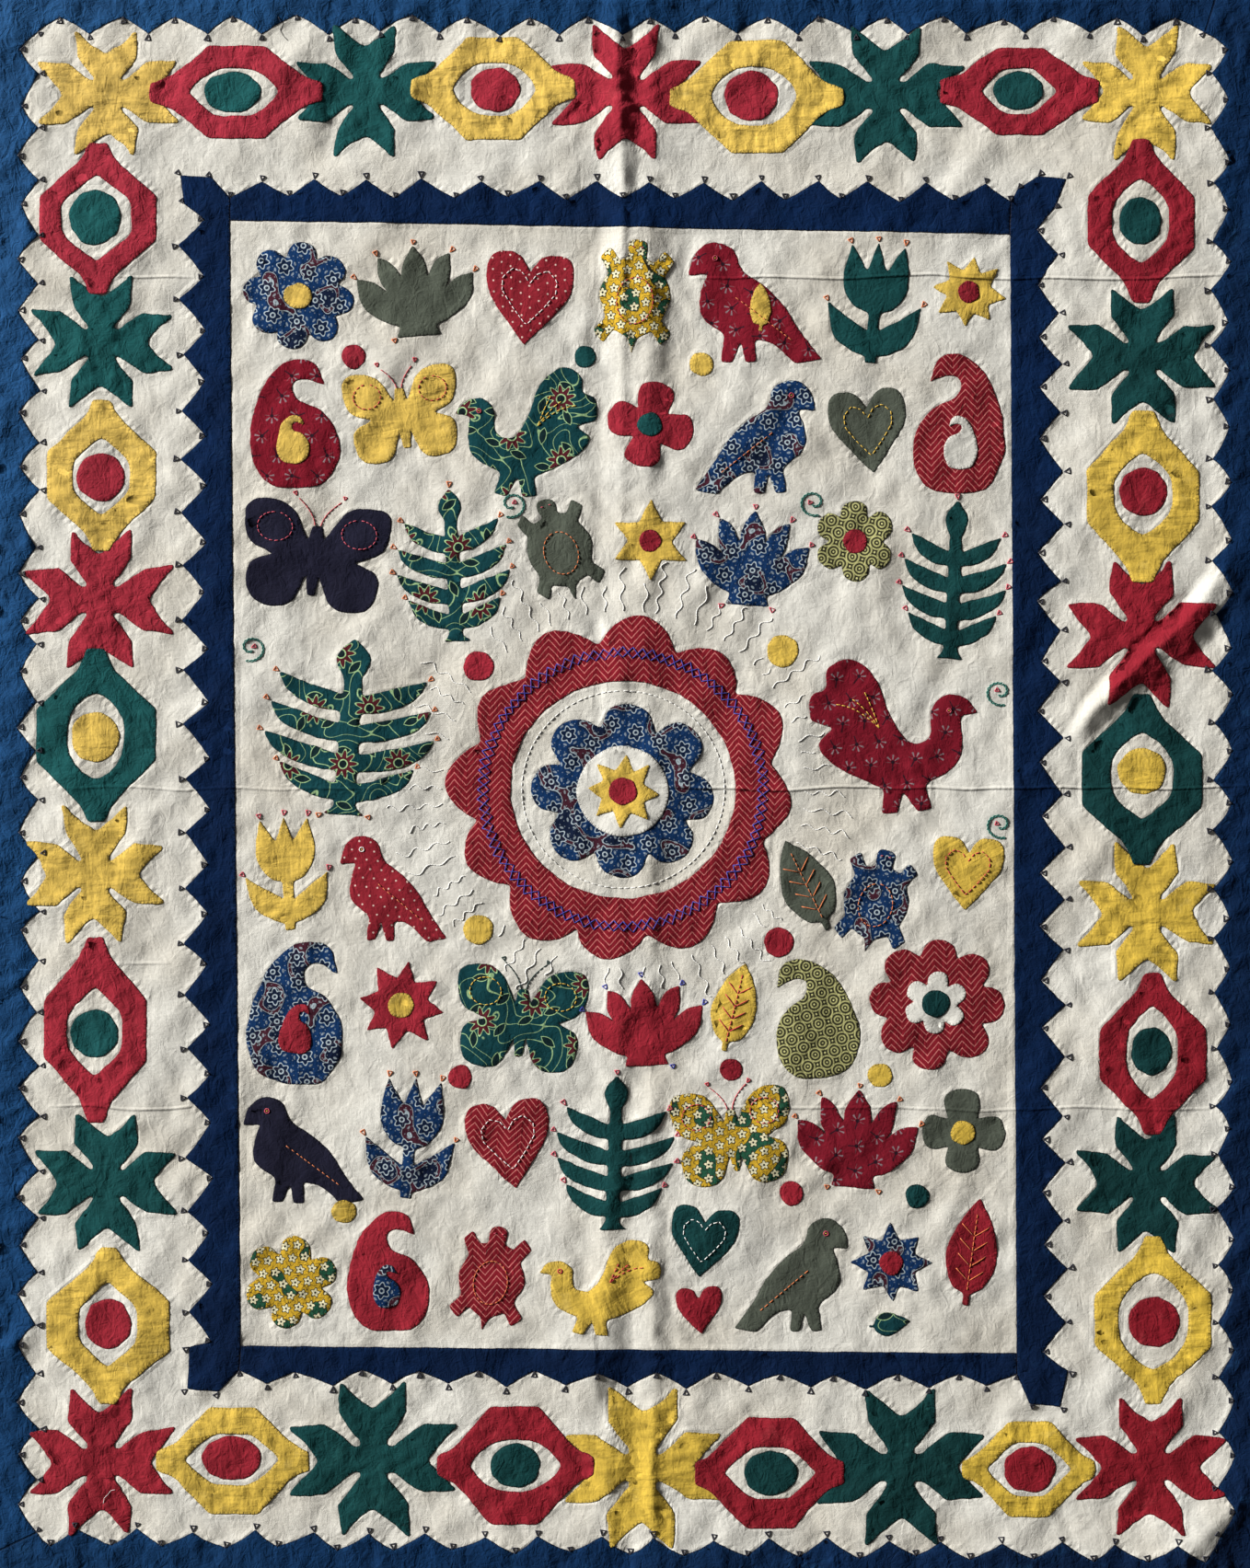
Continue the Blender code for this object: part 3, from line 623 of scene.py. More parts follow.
def patch(name, material, loops, seed, thick=0.50, wave=0.32, gather=0.14,
          ridge=None, ridge_h=0.0, turn=0.0, thread=None, gap=4.2, lift=0.50,
          pitch=2.6, closed=True, print_at=(0.0, 0.0)):
    """An applied piece: its outline with a slightly unsteady turned edge, a
    rounded rim over the turned-in allowance, and small gathers at the
    stitches. loops are in mm, the outer one first."""
    rng = np.random.default_rng(seed)
    made = []
    for k, loop in enumerate(loops):
        loop = np.array(loop, float)
        if (signed_area(loop) > 0) != (k == 0):
            loop = loop[::-1]
        n, _ = left_normals(loop)
        s, total = arcs(loop)
        if wave:
            off = wave * (0.75 * noise_round(rng, s, total, 30) + 0.45 * noise_round(rng, s, total, 10))
            off += rng.uniform(-0.10, 0.10, len(loop))
            room = np.minimum(1.0, total / 60)
            loop = loop + n * (off * room)[:, None]
        made.append(loop)
    ring = []
    for loop in made:
        n, _ = left_normals(loop)
        ring.append(loop + n * 0.45)
        ring.append((loop + n * 1.7)[:: 2])
    ring = np.concatenate(ring)
    d, _ = nearest(ring, made)
    want = np.concatenate([np.r_[np.full(len(l), 0.45), np.full(len(l[::2]), 1.7)] for l in made])
    ring = ring[(d > want * 0.8) & inside(ring, made)]
    inner = lattice(made, gap, rng)
    inner = inner[sample(TIGHT, inner[:, 0], inner[:, 1]) < 0.25]
    finer = lattice(made, 1.55, rng)
    finer = finer[sample(TIGHT, finer[:, 0], finer[:, 1]) >= 0.25]
    inner = np.concatenate([inner, finer])
    d, _ = nearest(inner, made)
    inner = inner[d > 2.6]
    flat, tri = mesh_plane(made, np.concatenate([ring, inner]))
    d, s = nearest(flat, made)
    total = sum(arcs(l)[1] for l in made)
    base = base_at(flat[:, 0], flat[:, 1])
    rise = 0.20 + (thick - 0.20) * np.sqrt(1 - (1 - np.clip(d / 1.1, 0, 1)) ** 2)
    rise -= 0.12 * np.clip((d - 4.5) / 3.0, 0, 1) ** 2 * (3 - 2 * np.clip((d - 4.5) / 3.0, 0, 1))
    pull = noise_round(rng, s, total, 6.2) * np.exp(-d / 4.2) * gather
    top = base + rise + pull * np.clip(d / 1.2, 0.25, 1)
    if ridge:
        top += ridge_h * sample(wrinkle_field(ridge), flat[:, 0], flat[:, 1]) * np.clip(d / 3, 0.15, 1)
    top = np.maximum(top, base + 0.16)
    used = np.unique(tri)
    back = np.full(len(flat), -1)
    back[used] = np.arange(len(used))
    tri = back[tri]
    flat, d, top, base, s = flat[used], d[used], top[used], base[used], s[used]
    verts = np.column_stack((flat, top))
    faces = tri.tolist()
    rim = rim_of(tri)
    place_of = {}
    low, low_edge, low_flat, low_run = [], [], [], []
    for i, _ in rim:
        place_of[i] = len(verts) + len(low)
        low.append((flat[i, 0], flat[i, 1], base[i] + 0.03))
        low_flat.append(flat[i])
        low_edge.append(0.0)
        low_run.append(s[i])
    for i, j in rim:
        faces.append((i, place_of[i], place_of[j], j))
    verts = np.concatenate([verts, np.array(low)])
    edge = np.concatenate([d, low_edge])
    run = np.concatenate([s, low_run])
    flat_all = np.concatenate([flat, np.array(low_flat)])
    if closed:
        # the underside, over the same edge with fewer points
        chains = chain_up(rim)
        bottom_loops = [flat[c] for c in chains]
        spread = lattice(bottom_loops, 9.0, rng, 0.05)
        if len(spread):
            dd, _ = nearest(spread, bottom_loops)
            spread = spread[dd > 3.0]
        bflat, btri = mesh_plane(bottom_loops, spread)
        order = [place_of[i] for c in chains for i in c]
        if len(bflat) >= len(order) and np.allclose(bflat[: len(order)], flat[[i for c in chains for i in c]], atol=1e-3):
            extra = bflat[len(order):]
            first = len(verts)
            if len(extra):
                z = base_at(extra[:, 0], extra[:, 1]) + 0.03
                verts = np.concatenate([verts, np.column_stack((extra, z))])
                edge = np.concatenate([edge, np.full(len(extra), 9.0)])
                run = np.concatenate([run, np.zeros(len(extra))])
                flat_all = np.concatenate([flat_all, extra])
            index = np.array(order + list(range(first, first + len(extra))))
            faces += index[btri[:, ::-1]].tolist()
    c, sn = math.cos(turn), math.sin(turn)
    mid = flat.mean(0)
    p = flat_all - mid
    uv = np.column_stack((p[:, 0] * c - p[:, 1] * sn, p[:, 0] * sn + p[:, 1] * c)) + print_at
    thing = make(name, (verts / 1000).tolist(), faces, material, uv=uv / 1000, edge=edge, run=run)
    if thread:
        whip(made, thread, rng, thick, pitch)
    raise_lift(made, lift)
    return thing, made


def chain_up(rim):
    after = dict(rim)
    chains = []
    while after:
        start, nxt = next(iter(after.items()))
        chain = [start]
        del after[start]
        while nxt != start and nxt in after:
            chain.append(nxt)
            nxt = after.pop(nxt)
        chains.append(chain)
    return chains


def whip(loops, thread, rng, thick, pitch):
    """Slanted stitches over a turned edge, each from the piece into the
    ground."""
    rows = STITCHES.setdefault(thread, [])
    for loop in loops:
        s, total = arcs(loop)
        count = max(4, int(total / pitch))
        at = (np.arange(count) + rng.uniform(-0.28, 0.28, count)) * total / count
        closed = np.vstack([loop, loop[:1]])
        reach = np.append(s, total)
        x = np.interp(at, reach, closed[:, 0])
        y = np.interp(at, reach, closed[:, 1])
        n, t = left_normals(loop)
        k = np.clip(np.searchsorted(s, at, side="right") - 1, 0, len(loop) - 1)
        n, t = n[k], t[k]
        p = np.column_stack((x, y))
        long = rng.uniform(0.75, 1.25, (count, 1))
        a = p + n * long * 0.90 + t * 0.32
        b = p - n * 0.20 * long - t * 0.22
        za = base_at(a[:, 0], a[:, 1]) + thick
        zb = base_at(b[:, 0], b[:, 1]) + 0.02
        level = sample(LIFT, b[:, 0], b[:, 1])
        rows.append((np.stack([np.column_stack((a, za)), np.column_stack((b, zb))], axis=1), level))


def tubes(name, paths, radius, material, sides=3, cap=True):
    """One mesh of many tubes. paths is (tubes, points, 3) in mm."""
    paths = np.asarray(paths, float)
    m, n, _ = paths.shape
    t = np.empty_like(paths)
    t[:, 1:-1] = paths[:, 2:] - paths[:, :-2]
    t[:, 0] = paths[:, 1] - paths[:, 0]
    t[:, -1] = paths[:, -1] - paths[:, -2]
    t /= np.maximum(np.linalg.norm(t, axis=2, keepdims=True), 1e-9)
    up = np.zeros_like(t)
    up[..., 2] = 1
    side = np.cross(t, up)
    side /= np.maximum(np.linalg.norm(side, axis=2, keepdims=True), 1e-6)
    over = np.cross(side, t)
    radius = np.broadcast_to(np.asarray(radius, float), (m,))[:, None, None]
    rings = []
    for k in range(sides):
        a = 2 * math.pi * k / sides + math.pi / 2
        rings.append(paths + radius * (math.cos(a) * side + math.sin(a) * over))
    verts = np.stack(rings, axis=2).reshape(-1, 3)
    base = np.arange(m)[:, None] * n * sides
    faces = []
    for i in range(n - 1):
        for k in range(sides):
            q = (k + 1) % sides
            faces.append(
                np.concatenate(
                    [base + i * sides + k, base + i * sides + q, base + (i + 1) * sides + q, base + (i + 1) * sides + k],
                    axis=1,
                )
            )
    quads = np.concatenate(faces)
    out = quads.tolist()
    if cap:
        first = (base + np.arange(sides)[::-1][None, :]).tolist()
        last = (base + (n - 1) * sides + np.arange(sides)[None, :]).tolist()
        out += first + last
    return make(name, (verts / 1000).tolist(), out, material)


# ------------------------------------------------------------- materials
class Sock:
    """A shader value that can be written as a sum or a product."""

    def __init__(self, net, out):
        self.net, self.out = net, out

    def __add__(self, o):
        return self.net.math("ADD", self, o)

    __radd__ = __add__

    def __sub__(self, o):
        return self.net.math("SUBTRACT", self, o)

    def __rsub__(self, o):
        return self.net.math("SUBTRACT", o, self)

    def __mul__(self, o):
        return self.net.math("MULTIPLY", self, o)

    __rmul__ = __mul__

    def __truediv__(self, o):
        return self.net.math("DIVIDE", self, o)


class Net:
    def __init__(self, name):
        self.mat = bpy.data.materials.new(name)
        self.mat.use_nodes = True
        self.tree = self.mat.node_tree
        self.shader = self.tree.nodes["Principled BSDF"]
        self.count = 0

    def node(self, kind, **props):
        n = self.tree.nodes.new(kind)
        n.location = (-220 * (self.count // 12) - 300, -160 * (self.count % 12))
        self.count += 1
        for k, v in props.items():
            setattr(n, k, v)
        return n

    def feed(self, socket, value):
        if isinstance(value, Sock):
            self.tree.links.new(value.out, socket)
        else:
            socket.default_value = value

    def math(self, op, *args):
        n = self.node("ShaderNodeMath", operation=op)
        for k, a in enumerate(args):
            self.feed(n.inputs[k], a)
        return Sock(self, n.outputs[0])

    def fract(self, a):
        return self.math("FRACT", a)

    def absolute(self, a):
        return self.math("ABSOLUTE", a)

    def low(self, a, b):
        return self.math("MINIMUM", a, b)

    def high(self, a, b):
        return self.math("MAXIMUM", a, b)

    def soft(self, a, lo, hi, start=0.0, end=1.0):
        """A smooth step from start to end as a goes from lo to hi."""
        n = self.node("ShaderNodeMapRange", interpolation_type="SMOOTHSTEP")
        self.feed(n.inputs["Value"], a)
        n.inputs["From Min"].default_value, n.inputs["From Max"].default_value = lo, hi
        n.inputs["To Min"].default_value, n.inputs["To Max"].default_value = start, end
        return Sock(self, n.outputs["Result"])

    def mix(self, factor, a, b, how="MIX"):
        n = self.node("ShaderNodeMix", data_type="RGBA", blend_type=how)
        self.feed(n.inputs[0], factor)
        for socket, v in ((n.inputs[6], a), (n.inputs[7], b)):
            if isinstance(v, Sock):
                self.tree.links.new(v.out, socket)
            else:
                socket.default_value = (*v, 1.0) if len(v) == 3 else v
        return Sock(self, n.outputs[2])

    def vector(self, v, scale=(1, 1, 1), turn=0.0, move=(0, 0, 0)):
        n = self.node("ShaderNodeMapping")
        self.tree.links.new(v.out, n.inputs["Vector"])
        n.inputs["Scale"].default_value = scale
        n.inputs["Rotation"].default_value = (0, 0, turn)
        n.inputs["Location"].default_value = move
        return Sock(self, n.outputs[0])

    def noise(self, v, scale, detail=2.0, rough=0.5, distort=0.0):
        n = self.node("ShaderNodeTexNoise", noise_dimensions="3D")
        self.tree.links.new(v.out, n.inputs["Vector"])
        n.inputs["Scale"].default_value = scale
        n.inputs["Detail"].default_value = detail
        n.inputs["Roughness"].default_value = rough
        n.inputs["Distortion"].default_value = distort
        return Sock(self, n.outputs["Fac"])

    def cells(self, v, scale, feature="F1", random_=1.0):
        n = self.node("ShaderNodeTexVoronoi", voronoi_dimensions="2D", feature=feature)
        self.tree.links.new(v.out, n.inputs["Vector"])
        n.inputs["Scale"].default_value = scale
        n.inputs["Randomness"].default_value = random_
        return n

    def position(self):
        n = self.node("ShaderNodeTexCoord")
        return Sock(self, n.outputs["Object"])

    def cloth_map(self):
        n = self.node("ShaderNodeUVMap", uv_map="cloth")
        return Sock(self, n.outputs[0])

    def attribute(self, name):
        n = self.node("ShaderNodeAttribute", attribute_name=name)
        return Sock(self, n.outputs["Fac"])

    def split(self, v, k=1000.0):
        """x and y in millimetres."""
        n = self.node("ShaderNodeSeparateXYZ")
        self.tree.links.new(v.out, n.inputs[0])
        return Sock(self, n.outputs[0]) * k, Sock(self, n.outputs[1]) * k

    def join(self, x, y):
        n = self.node("ShaderNodeCombineXYZ")
        self.feed(n.inputs[0], x)
        self.feed(n.inputs[1], y)
        return Sock(self, n.outputs[0])


def srgb(r, g, b):
    def f(c):
        c /= 255
        return c / 12.92 if c <= 0.04045 else ((c + 0.055) / 1.055) ** 2.4

    return (f(r), f(g), f(b))


# lines left by folding: y, x from, x to and height, in mm
PRESSED = [
    (389.0, 40, 470, 0.55), (389.0, -402, -316, 0.45), (0.5, 10, 480, 0.60), (0.0, -440, -180, 0.30),
    (-242.0, -452, -310, 0.42), (-243.0, 30, 460, 0.34), (-133.0, -396, -340, 0.5),
]


def finish_cloth(net, colour, v, place_v, crinkle=0.45, slub=0.034, weave=0.024,
                 ridge=None, rough=0.88, sheen=0.0, edge=True, fade=0.08, near=None,
                 pale=None, rim_dark=0.45, gloss=0.12, tick=0.35, fine=1.0, cast=None, seams=(), grainy=0.20, drift=None):
    """The last nodes of every cotton: thread streaks, wear, crinkle and weave
    in colour, roughness and bump, with painted shade in the crinkle's hollows,
    the furrows, the stitch dents and a line along the edges, and a painted
    light falloff across the cloth. v is the cloth's own map and place_v the
    place in the frame, both in metres."""
    sh = net.shader
    across = net.noise(net.vector(v, (70, 900, 1)), 1.0, 2.0, 0.6)
    along = net.noise(net.vector(v, (820, 62, 1), move=(3, 7, 0)), 1.0, 2.0, 0.6)
    blotch = net.noise(place_v, 34.0, 3.0, 0.6)
    fleck = net.noise(place_v, 420.0, 2.0, 0.6)
    # relief in mm: creased ridges of several sizes and soft swells
    soft1 = net.noise(net.vector(place_v, (1, 0.62, 1), 0.7), 125.0, 3.0, 0.55, 0.8)
    soft2 = net.noise(net.vector(place_v, (0.55, 1, 1), -0.5, (0.3, 0.1, 0)), 230.0, 2.0, 0.5, 0.6)
    soft3 = net.noise(net.vector(place_v, (1, 0.7, 1), -0.9, (0.1, 0.4, 0)), 62.0, 2.0, 0.5, 0.5)
    fold1 = net.absolute(soft1 - 0.5) * 2.0
    fold2 = net.absolute(soft2 - 0.5) * 2.0
    fold3 = net.absolute(soft3 - 0.5) * 2.0
    big = (
        (1.0 - fold1) * (crinkle * 1.5 * fine)
        + (1.0 - fold2) * (crinkle * 0.8 * fine)
        + (1.0 - fold3) * (crinkle * 1.5)
    )
    if near is not None:
        big = big * (1.0 + near)
    x, y = net.split(v)
    knit = net.math("SINE", x * (2 * math.pi / 0.62)) * net.math("SINE", y * (2 * math.pi / 0.58))
    high = big + (across + along) * slub + knit * weave
    shade = (
        1.0
        + (across - 0.5) * 0.22
        + (along - 0.5) * 0.20
        + (blotch - 0.5) * (2.2 * fade)
        + (fleck - 0.5) * grainy
        # painted shade: a little darker in the hollows between the crinkle's creased ridges
        - fold1 * 0.03
    )
    px, py = net.split(place_v)
    bend = (net.noise(place_v, 14.0, 1.0) - 0.5) * 9.0
    for level, lo, hi, amount in PRESSED:
        gap = net.absolute(py + bend - level)
        span = net.soft(px, lo, lo + 40) * net.soft(px, hi - 40, hi, 1.0, 0.0)
        high = high + net.soft(gap, 0.0, 1.9, amount * 1.6, 0.0) * span
    if ridge is not None:
        angle, amount = ridge
        lines = net.noise(net.vector(v, (38, 175, 1), angle), 1.0, 2.0, 0.55, 0.5)
        cross = net.noise(net.vector(v, (150, 34, 1), angle, (5, 2, 0)), 1.0, 2.0, 0.55, 0.5)
        patchy = net.soft(net.noise(v, 26.0, 1.0), 0.40, 0.60, 0.25, 1.0)
        high = high + lines * patchy * (amount * 1.3) + cross * (amount * 0.7)
        # painted light: the raised gather lines are lighter and the furrows between them darker
        furrow_shade = net.soft(lines, 0.34, 0.46, 1.0, 0.0) * patchy + net.soft(cross, 0.32, 0.42, 0.5, 0.0)
        shade = shade + (lines - 0.5) * 0.5 - furrow_shade * 0.22
    if edge:
        d = net.attribute("edge")
        run = net.attribute("run")
        # a dent at every stitch, with painted shade darkening each dent
        beat = net.absolute(net.fract(run * (1 / 2.9)) - 0.5) * 2.0
        dent = net.soft(beat, 0.55, 0.95) * net.soft(d, 0.4, 2.6, 1.0, 0.0)
        high = high - dent * 0.22
        shade = shade - dent * tick
    if cast:
        # painted light falloff: the cloth's colour is lighter towards the upper left, where the lamp is, and deeper to
        # the right and at the bottom
        falloff_tone = net.math("EXPONENT", px * (cast[0] / 482.0) - py * (cast[1] / 601.0))
        shade = shade * falloff_tone
    for (ax, ay), (bx, by) in seams:
        (ax, ay), (bx, by) = place(ax, ay), place(bx, by)
        size = math.hypot(bx - ax, by - ay)
        ux, uy = (bx - ax) / size, (by - ay) / size
        off = net.absolute((px - ax) * uy - (py - ay) * ux)
        on = (px - ax) * ux + (py - ay) * uy
        seam = net.soft(off, 0.3, 1.1, 1.0, 0.0) * net.soft(on, -1.0, 0.5) * net.soft(on, size - 0.5, size + 1.0, 1.0, 0.0)
        high = high - seam * 0.7
        shade = shade * (1.0 - seam * 0.55)
    tone = net.node("ShaderNodeCombineColor")
    for k in range(3):
        # each channel can also change on its own across the cloth, so the lighter side leans to grey
        lean = net.math("EXPONENT", px * (drift[k][0] / 482.0) - py * (drift[k][1] / 601.0)) if drift and drift[k] else 1.0
        net.feed(tone.inputs[k], shade * lean if drift and drift[k] else shade)
    colour = net.mix(1.0, colour, Sock(net, tone.outputs[0]), "MULTIPLY")
    if pale is not None:
        worn = net.soft(net.noise(place_v, 60.0, 4.0, 0.65), 0.56, 0.74, 0.0, 0.22)
        colour = net.mix(worn, colour, pale)
    if edge:
        # painted shadow: a dark line along each piece's edge
        dark = net.soft(d, 0.0, 0.75, rim_dark, 0.0)
        colour = net.mix(dark, colour, (0.012, 0.010, 0.012))
        if pale is not None:
            rub = net.soft(net.absolute(d - 1.5), 0.0, 1.1, 0.16, 0.0)
            colour = net.mix(rub * net.soft(fleck, 0.35, 0.62), colour, pale)
    net.feed(sh.inputs["Base Color"], colour)
    dim = net.noise(place_v, 150.0, 3.0, 0.6)
    net.feed(sh.inputs["Roughness"], rough + (dim - 0.5) * 0.16 + (across - 0.5) * 0.12)
    sh.inputs["Specular IOR Level"].default_value = gloss
    if sheen:
        sh.inputs["Sheen Weight"].default_value = sheen
        sh.inputs["Sheen Roughness"].default_value = 0.55
    bump = net.node("ShaderNodeBump")
    bump.inputs["Strength"].default_value = 1.0
    bump.inputs["Distance"].default_value = 0.001
    net.feed(bump.inputs["Height"], high)
    net.tree.links.new(bump.outputs[0], sh.inputs["Normal"])
    return net.mat


MATERIALS = {}


def plain(name, colour, **more):
    net = Net(name)
    v = net.cloth_map()
    patchy = net.noise(net.position(), 18.0, 2.0, 0.5)
    base = net.mix(net.soft(patchy, 0.3, 0.7), tuple(c * 0.88 for c in colour), tuple(min(1, c * 1.12) for c in colour))
    return finish_cloth(net, base, v, net.position(), **more)


WHITE = srgb(219, 217, 209)
BLUE = srgb(7, 44, 82)
NAVY = srgb(0, 26, 61)
RED = srgb(144, 34, 48)
YELLOW = srgb(212, 179, 79)
GREEN = srgb(17, 65, 66)
OLIVE = srgb(78, 84, 74)
BLACK = srgb(26, 26, 44)


def white_ground():
    net = Net("white_cotton")
    v = net.position()
    stain = net.noise(v, 9.0, 3.0, 0.55)
    base = net.mix(net.soft(stain, 0.35, 0.7), WHITE, srgb(211, 206, 194))
    near = net.attribute("near")
    return finish_cloth(
        net, base, v, v, crinkle=0.36, slub=0.055, weave=0.03, edge=False,
        rough=0.92, fade=0.06, near=near, fine=0.65, grainy=0.26, cast=(-0.05, -0.03),
    )


def chevron(net, x, y, ground, line):
    wave = net.absolute(net.fract(x / 18.0) - 0.5) * 20.0
    t = net.absolute(net.fract((y + wave) / 5.3) - 0.5) * 5.3
    wob = net.noise(net.join(x * 0.001, y * 0.001), 900.0, 1.0)
    return net.mix(net.soft(t + (wob - 0.5) * 0.4, 0.26, 0.60, 0.85, 0.0), ground, line)


def grid(net, x, y, size, shift=0.5):
    """Cells in staggered rows: the place inside the cell, and the cell."""
    row = net.math("FLOOR", y / size)
    odd = net.math("FLOORED_MODULO", row, 2.0)
    xs = x / size + odd * shift
    col = net.math("FLOOR", xs)
    return (net.fract(xs) - 0.5) * size, (net.fract(y / size) - 0.5) * size, col, row


def rosette(net, u, v, size, petals, deep, line, twist=0.0):
    """A line round a flower of this size: 1 on the line, and 1 inside."""
    r = net.math("SQRT", u * u + v * v)
    a = net.math("ARCTAN2", v, u)
    wave = net.math("COSINE", a * float(petals) + twist)
    edge = (wave * deep + 1.0) * size
    gap = r - edge
    on = net.soft(net.absolute(gap), line * 0.5, line, 1.0, 0.0)
    return on, net.soft(gap, -0.15, 0.15, 1.0, 0.0), r


def printed(name, painter, turn=0.0, **more):
    net = Net(name)
    v = net.cloth_map()
    shaken = net.noise(v, 120.0, 2.0)
    x, y = net.split(net.vector(v, turn=turn))
    x = x + (shaken - 0.5) * 1.6
    colour = painter(net, x, y)
    return finish_cloth(net, colour, v, net.position(), **more)


def paint_chevron(net, x, y):
    return chevron(net, x, y, srgb(124, 22, 35), srgb(208, 128, 122))


def paint_dots(net, x, y):
    u, v, _, _ = grid(net, x, y, 7.6)
    r = net.math("SQRT", u * u + v * v)
    return net.mix(net.soft(r, 0.5, 0.95, 1.0, 0.0), srgb(136, 33, 45), srgb(220, 190, 180))


def paint_stripes(net, x, y):
    wob = net.noise(net.join(x * 0.001, y * 0.001), 55.0, 1.0)
    t = net.absolute(net.fract((y + wob * 3.0) / 6.8) - 0.5) * 6.8
    return net.mix(net.soft(t, 0.55, 0.85, 1.0, 0.0), srgb(224, 218, 206), srgb(34, 32, 40))


def paint_indigo(net, x, y):
    dark, mid, light = srgb(10, 24, 50), srgb(12, 48, 92), srgb(168, 182, 190)
    rust = srgb(66, 28, 42)
    spread = net.noise(net.join(x * 0.001, y * 0.001), 46.0, 0.0)
    zone = net.soft(spread, 0.50, 0.56)
    colour = net.mix(zone, mid, dark)
    # rust bands with a pale line on each side
    band = net.absolute(spread - 0.60)
    colour = net.mix(net.soft(band, 0.030, 0.036, 1.0, 0.0), colour, rust)
    colour = net.mix(net.soft(net.absolute(band - 0.040), 0.003, 0.007, 0.9, 0.0), colour, light)
    u, v, col, row = grid(net, x, y, 19.0)
    on, within, r = rosette(net, u, v, 5.4, 6, 0.20, 0.62)
    colour = net.mix(within * 0.85, colour, dark)
    colour = net.mix(on, colour, light)
    colour = net.mix(net.soft(net.absolute(r - 1.7), 0.35, 0.65, 1.0, 0.0), colour, light)
    # small rings round each flower
    a = net.math("ARCTAN2", v, u)
    ring = net.math("COSINE", a * 6.0 + math.pi)
    seed = net.soft(net.absolute(r - 7.9) - net.high(ring, 0.0) * 0.8, -0.2, 0.20, 0.55, 0.0)
    colour = net.mix(seed * net.soft(ring, 0.2, 0.6), colour, light)
    # dotted lines between
    uu, vv, _, _ = grid(net, x + 9.5, y + 9.5, 3.8)
    rr = net.math("SQRT", uu * uu + vv * vv)
    away = net.soft(r, 8.6, 9.4)
    colour = net.mix(net.soft(rr, 0.30, 0.60, 0.42, 0.0) * away, colour, light)
    return colour


def paint_daisies(net, x, y):
    gold, pale, ink, leaf = srgb(198, 160, 44), srgb(222, 216, 180), srgb(34, 34, 30), srgb(34, 84, 62)
    spread = net.noise(net.join(x * 0.001, y * 0.001), 52.0, 0.0)
    colour = net.mix(net.soft(spread, 0.575, 0.60), gold, leaf)
    colour = net.mix(net.soft(net.absolute(spread - 0.585), 0.004, 0.012, 1.0, 0.0), colour, ink)
    u, v, _, _ = grid(net, x, y, 9.4)
    on, within, r = rosette(net, u, v, 3.0, 5, 0.26, 0.55)
    colour = net.mix(within, colour, pale)
    colour = net.mix(on, colour, ink)
    colour = net.mix(net.soft(r, 0.7, 1.0, 1.0, 0.0), colour, ink)
    twig = net.noise(net.join(x * 0.001, y * 0.001), 210.0, 0.0)
    line = net.soft(net.absolute(twig - 0.5), 0.010, 0.03, 0.9, 0.0) * net.soft(r, 3.9, 4.4)
    return net.mix(line, colour, ink)


def paint_leaves(net, x, y):
    ground, pale, wine = srgb(12, 60, 66), srgb(160, 194, 140), srgb(82, 26, 36)
    p = net.join(x * 0.001, y * 0.001)
    # curling stems: level lines of an even relief
    stem = net.noise(p, 30.0, 0.0, 0.5, 0.6)
    lines = net.absolute(net.fract(stem * 7.0) - 0.5)
    colour = net.mix(net.soft(lines, 0.018, 0.05, 0.85, 0.0), ground, pale)
    # leaves, each an oval with a pale edge and vein
    u, v, col, row = grid(net, x, y, 21.0)
    spin = net.math("SINE", col * 12.9 + row * 7.3) * 3.1
    c, s = net.math("COSINE", spin), net.math("SINE", spin)
    du, dv = u * c - v * s, u * s + v * c
    lens = net.absolute(dv) / 2.9 + (du * du) / 42.0
    colour = net.mix(net.soft(lens, 0.94, 1.02, 1.0, 0.0), colour, srgb(12, 36, 40))
    colour = net.mix(net.soft(net.absolute(lens - 1.0), 0.05, 0.15, 1.0, 0.0), colour, pale)
    # wine flowers with pale outlines in between
    fu, fv, _, _ = grid(net, x + 10.5, y + 21.0, 42.0)
    on, within, r = rosette(net, fu, fv, 8.6, 9, 0.30, 0.8)
    colour = net.mix(within, colour, wine)
    colour = net.mix(on, colour, pale)
    colour = net.mix(net.soft(r, 3.3, 3.6, 1.0, 0.0), colour, srgb(14, 30, 34))
    colour = net.mix(net.soft(net.absolute(r - 3.4), 0.3, 0.6, 1.0, 0.0), colour, pale)
    return colour


def paint_sprigs(net, x, y):
    ground, ink, grey = srgb(120, 20, 37), srgb(40, 20, 32), srgb(140, 120, 126)
    u, v, col, row = grid(net, x, y, 17.0)
    spin = net.math("SINE", col * 5.7 + row * 9.1) * 1.4
    c, s = net.math("COSINE", spin), net.math("SINE", spin)
    du, dv = u * c - v * s, u * s + v * c
    r = net.math("SQRT", du * du + dv * dv)
    a = net.math("ARCTAN2", dv, du)
    rays = net.math("COSINE", a * 7.0)
    fan = net.soft(rays, 0.45, 0.75) * net.soft(r, 1.6, 2.2) * net.soft(r, 5.2, 6.0, 1.0, 0.0) * net.soft(du, -1.2, 0.4)
    colour = net.mix(fan, ground, grey)
    tail = net.soft(net.absolute(dv), 0.35, 0.7, 1.0, 0.0) * net.soft(net.absolute(du + 3.4), 3.0, 3.6, 1.0, 0.0)
    colour = net.mix(tail * 0.9, colour, ink)
    blot = net.soft(r, 1.2, 1.7, 1.0, 0.0)
    return net.mix(blot, colour, ink)


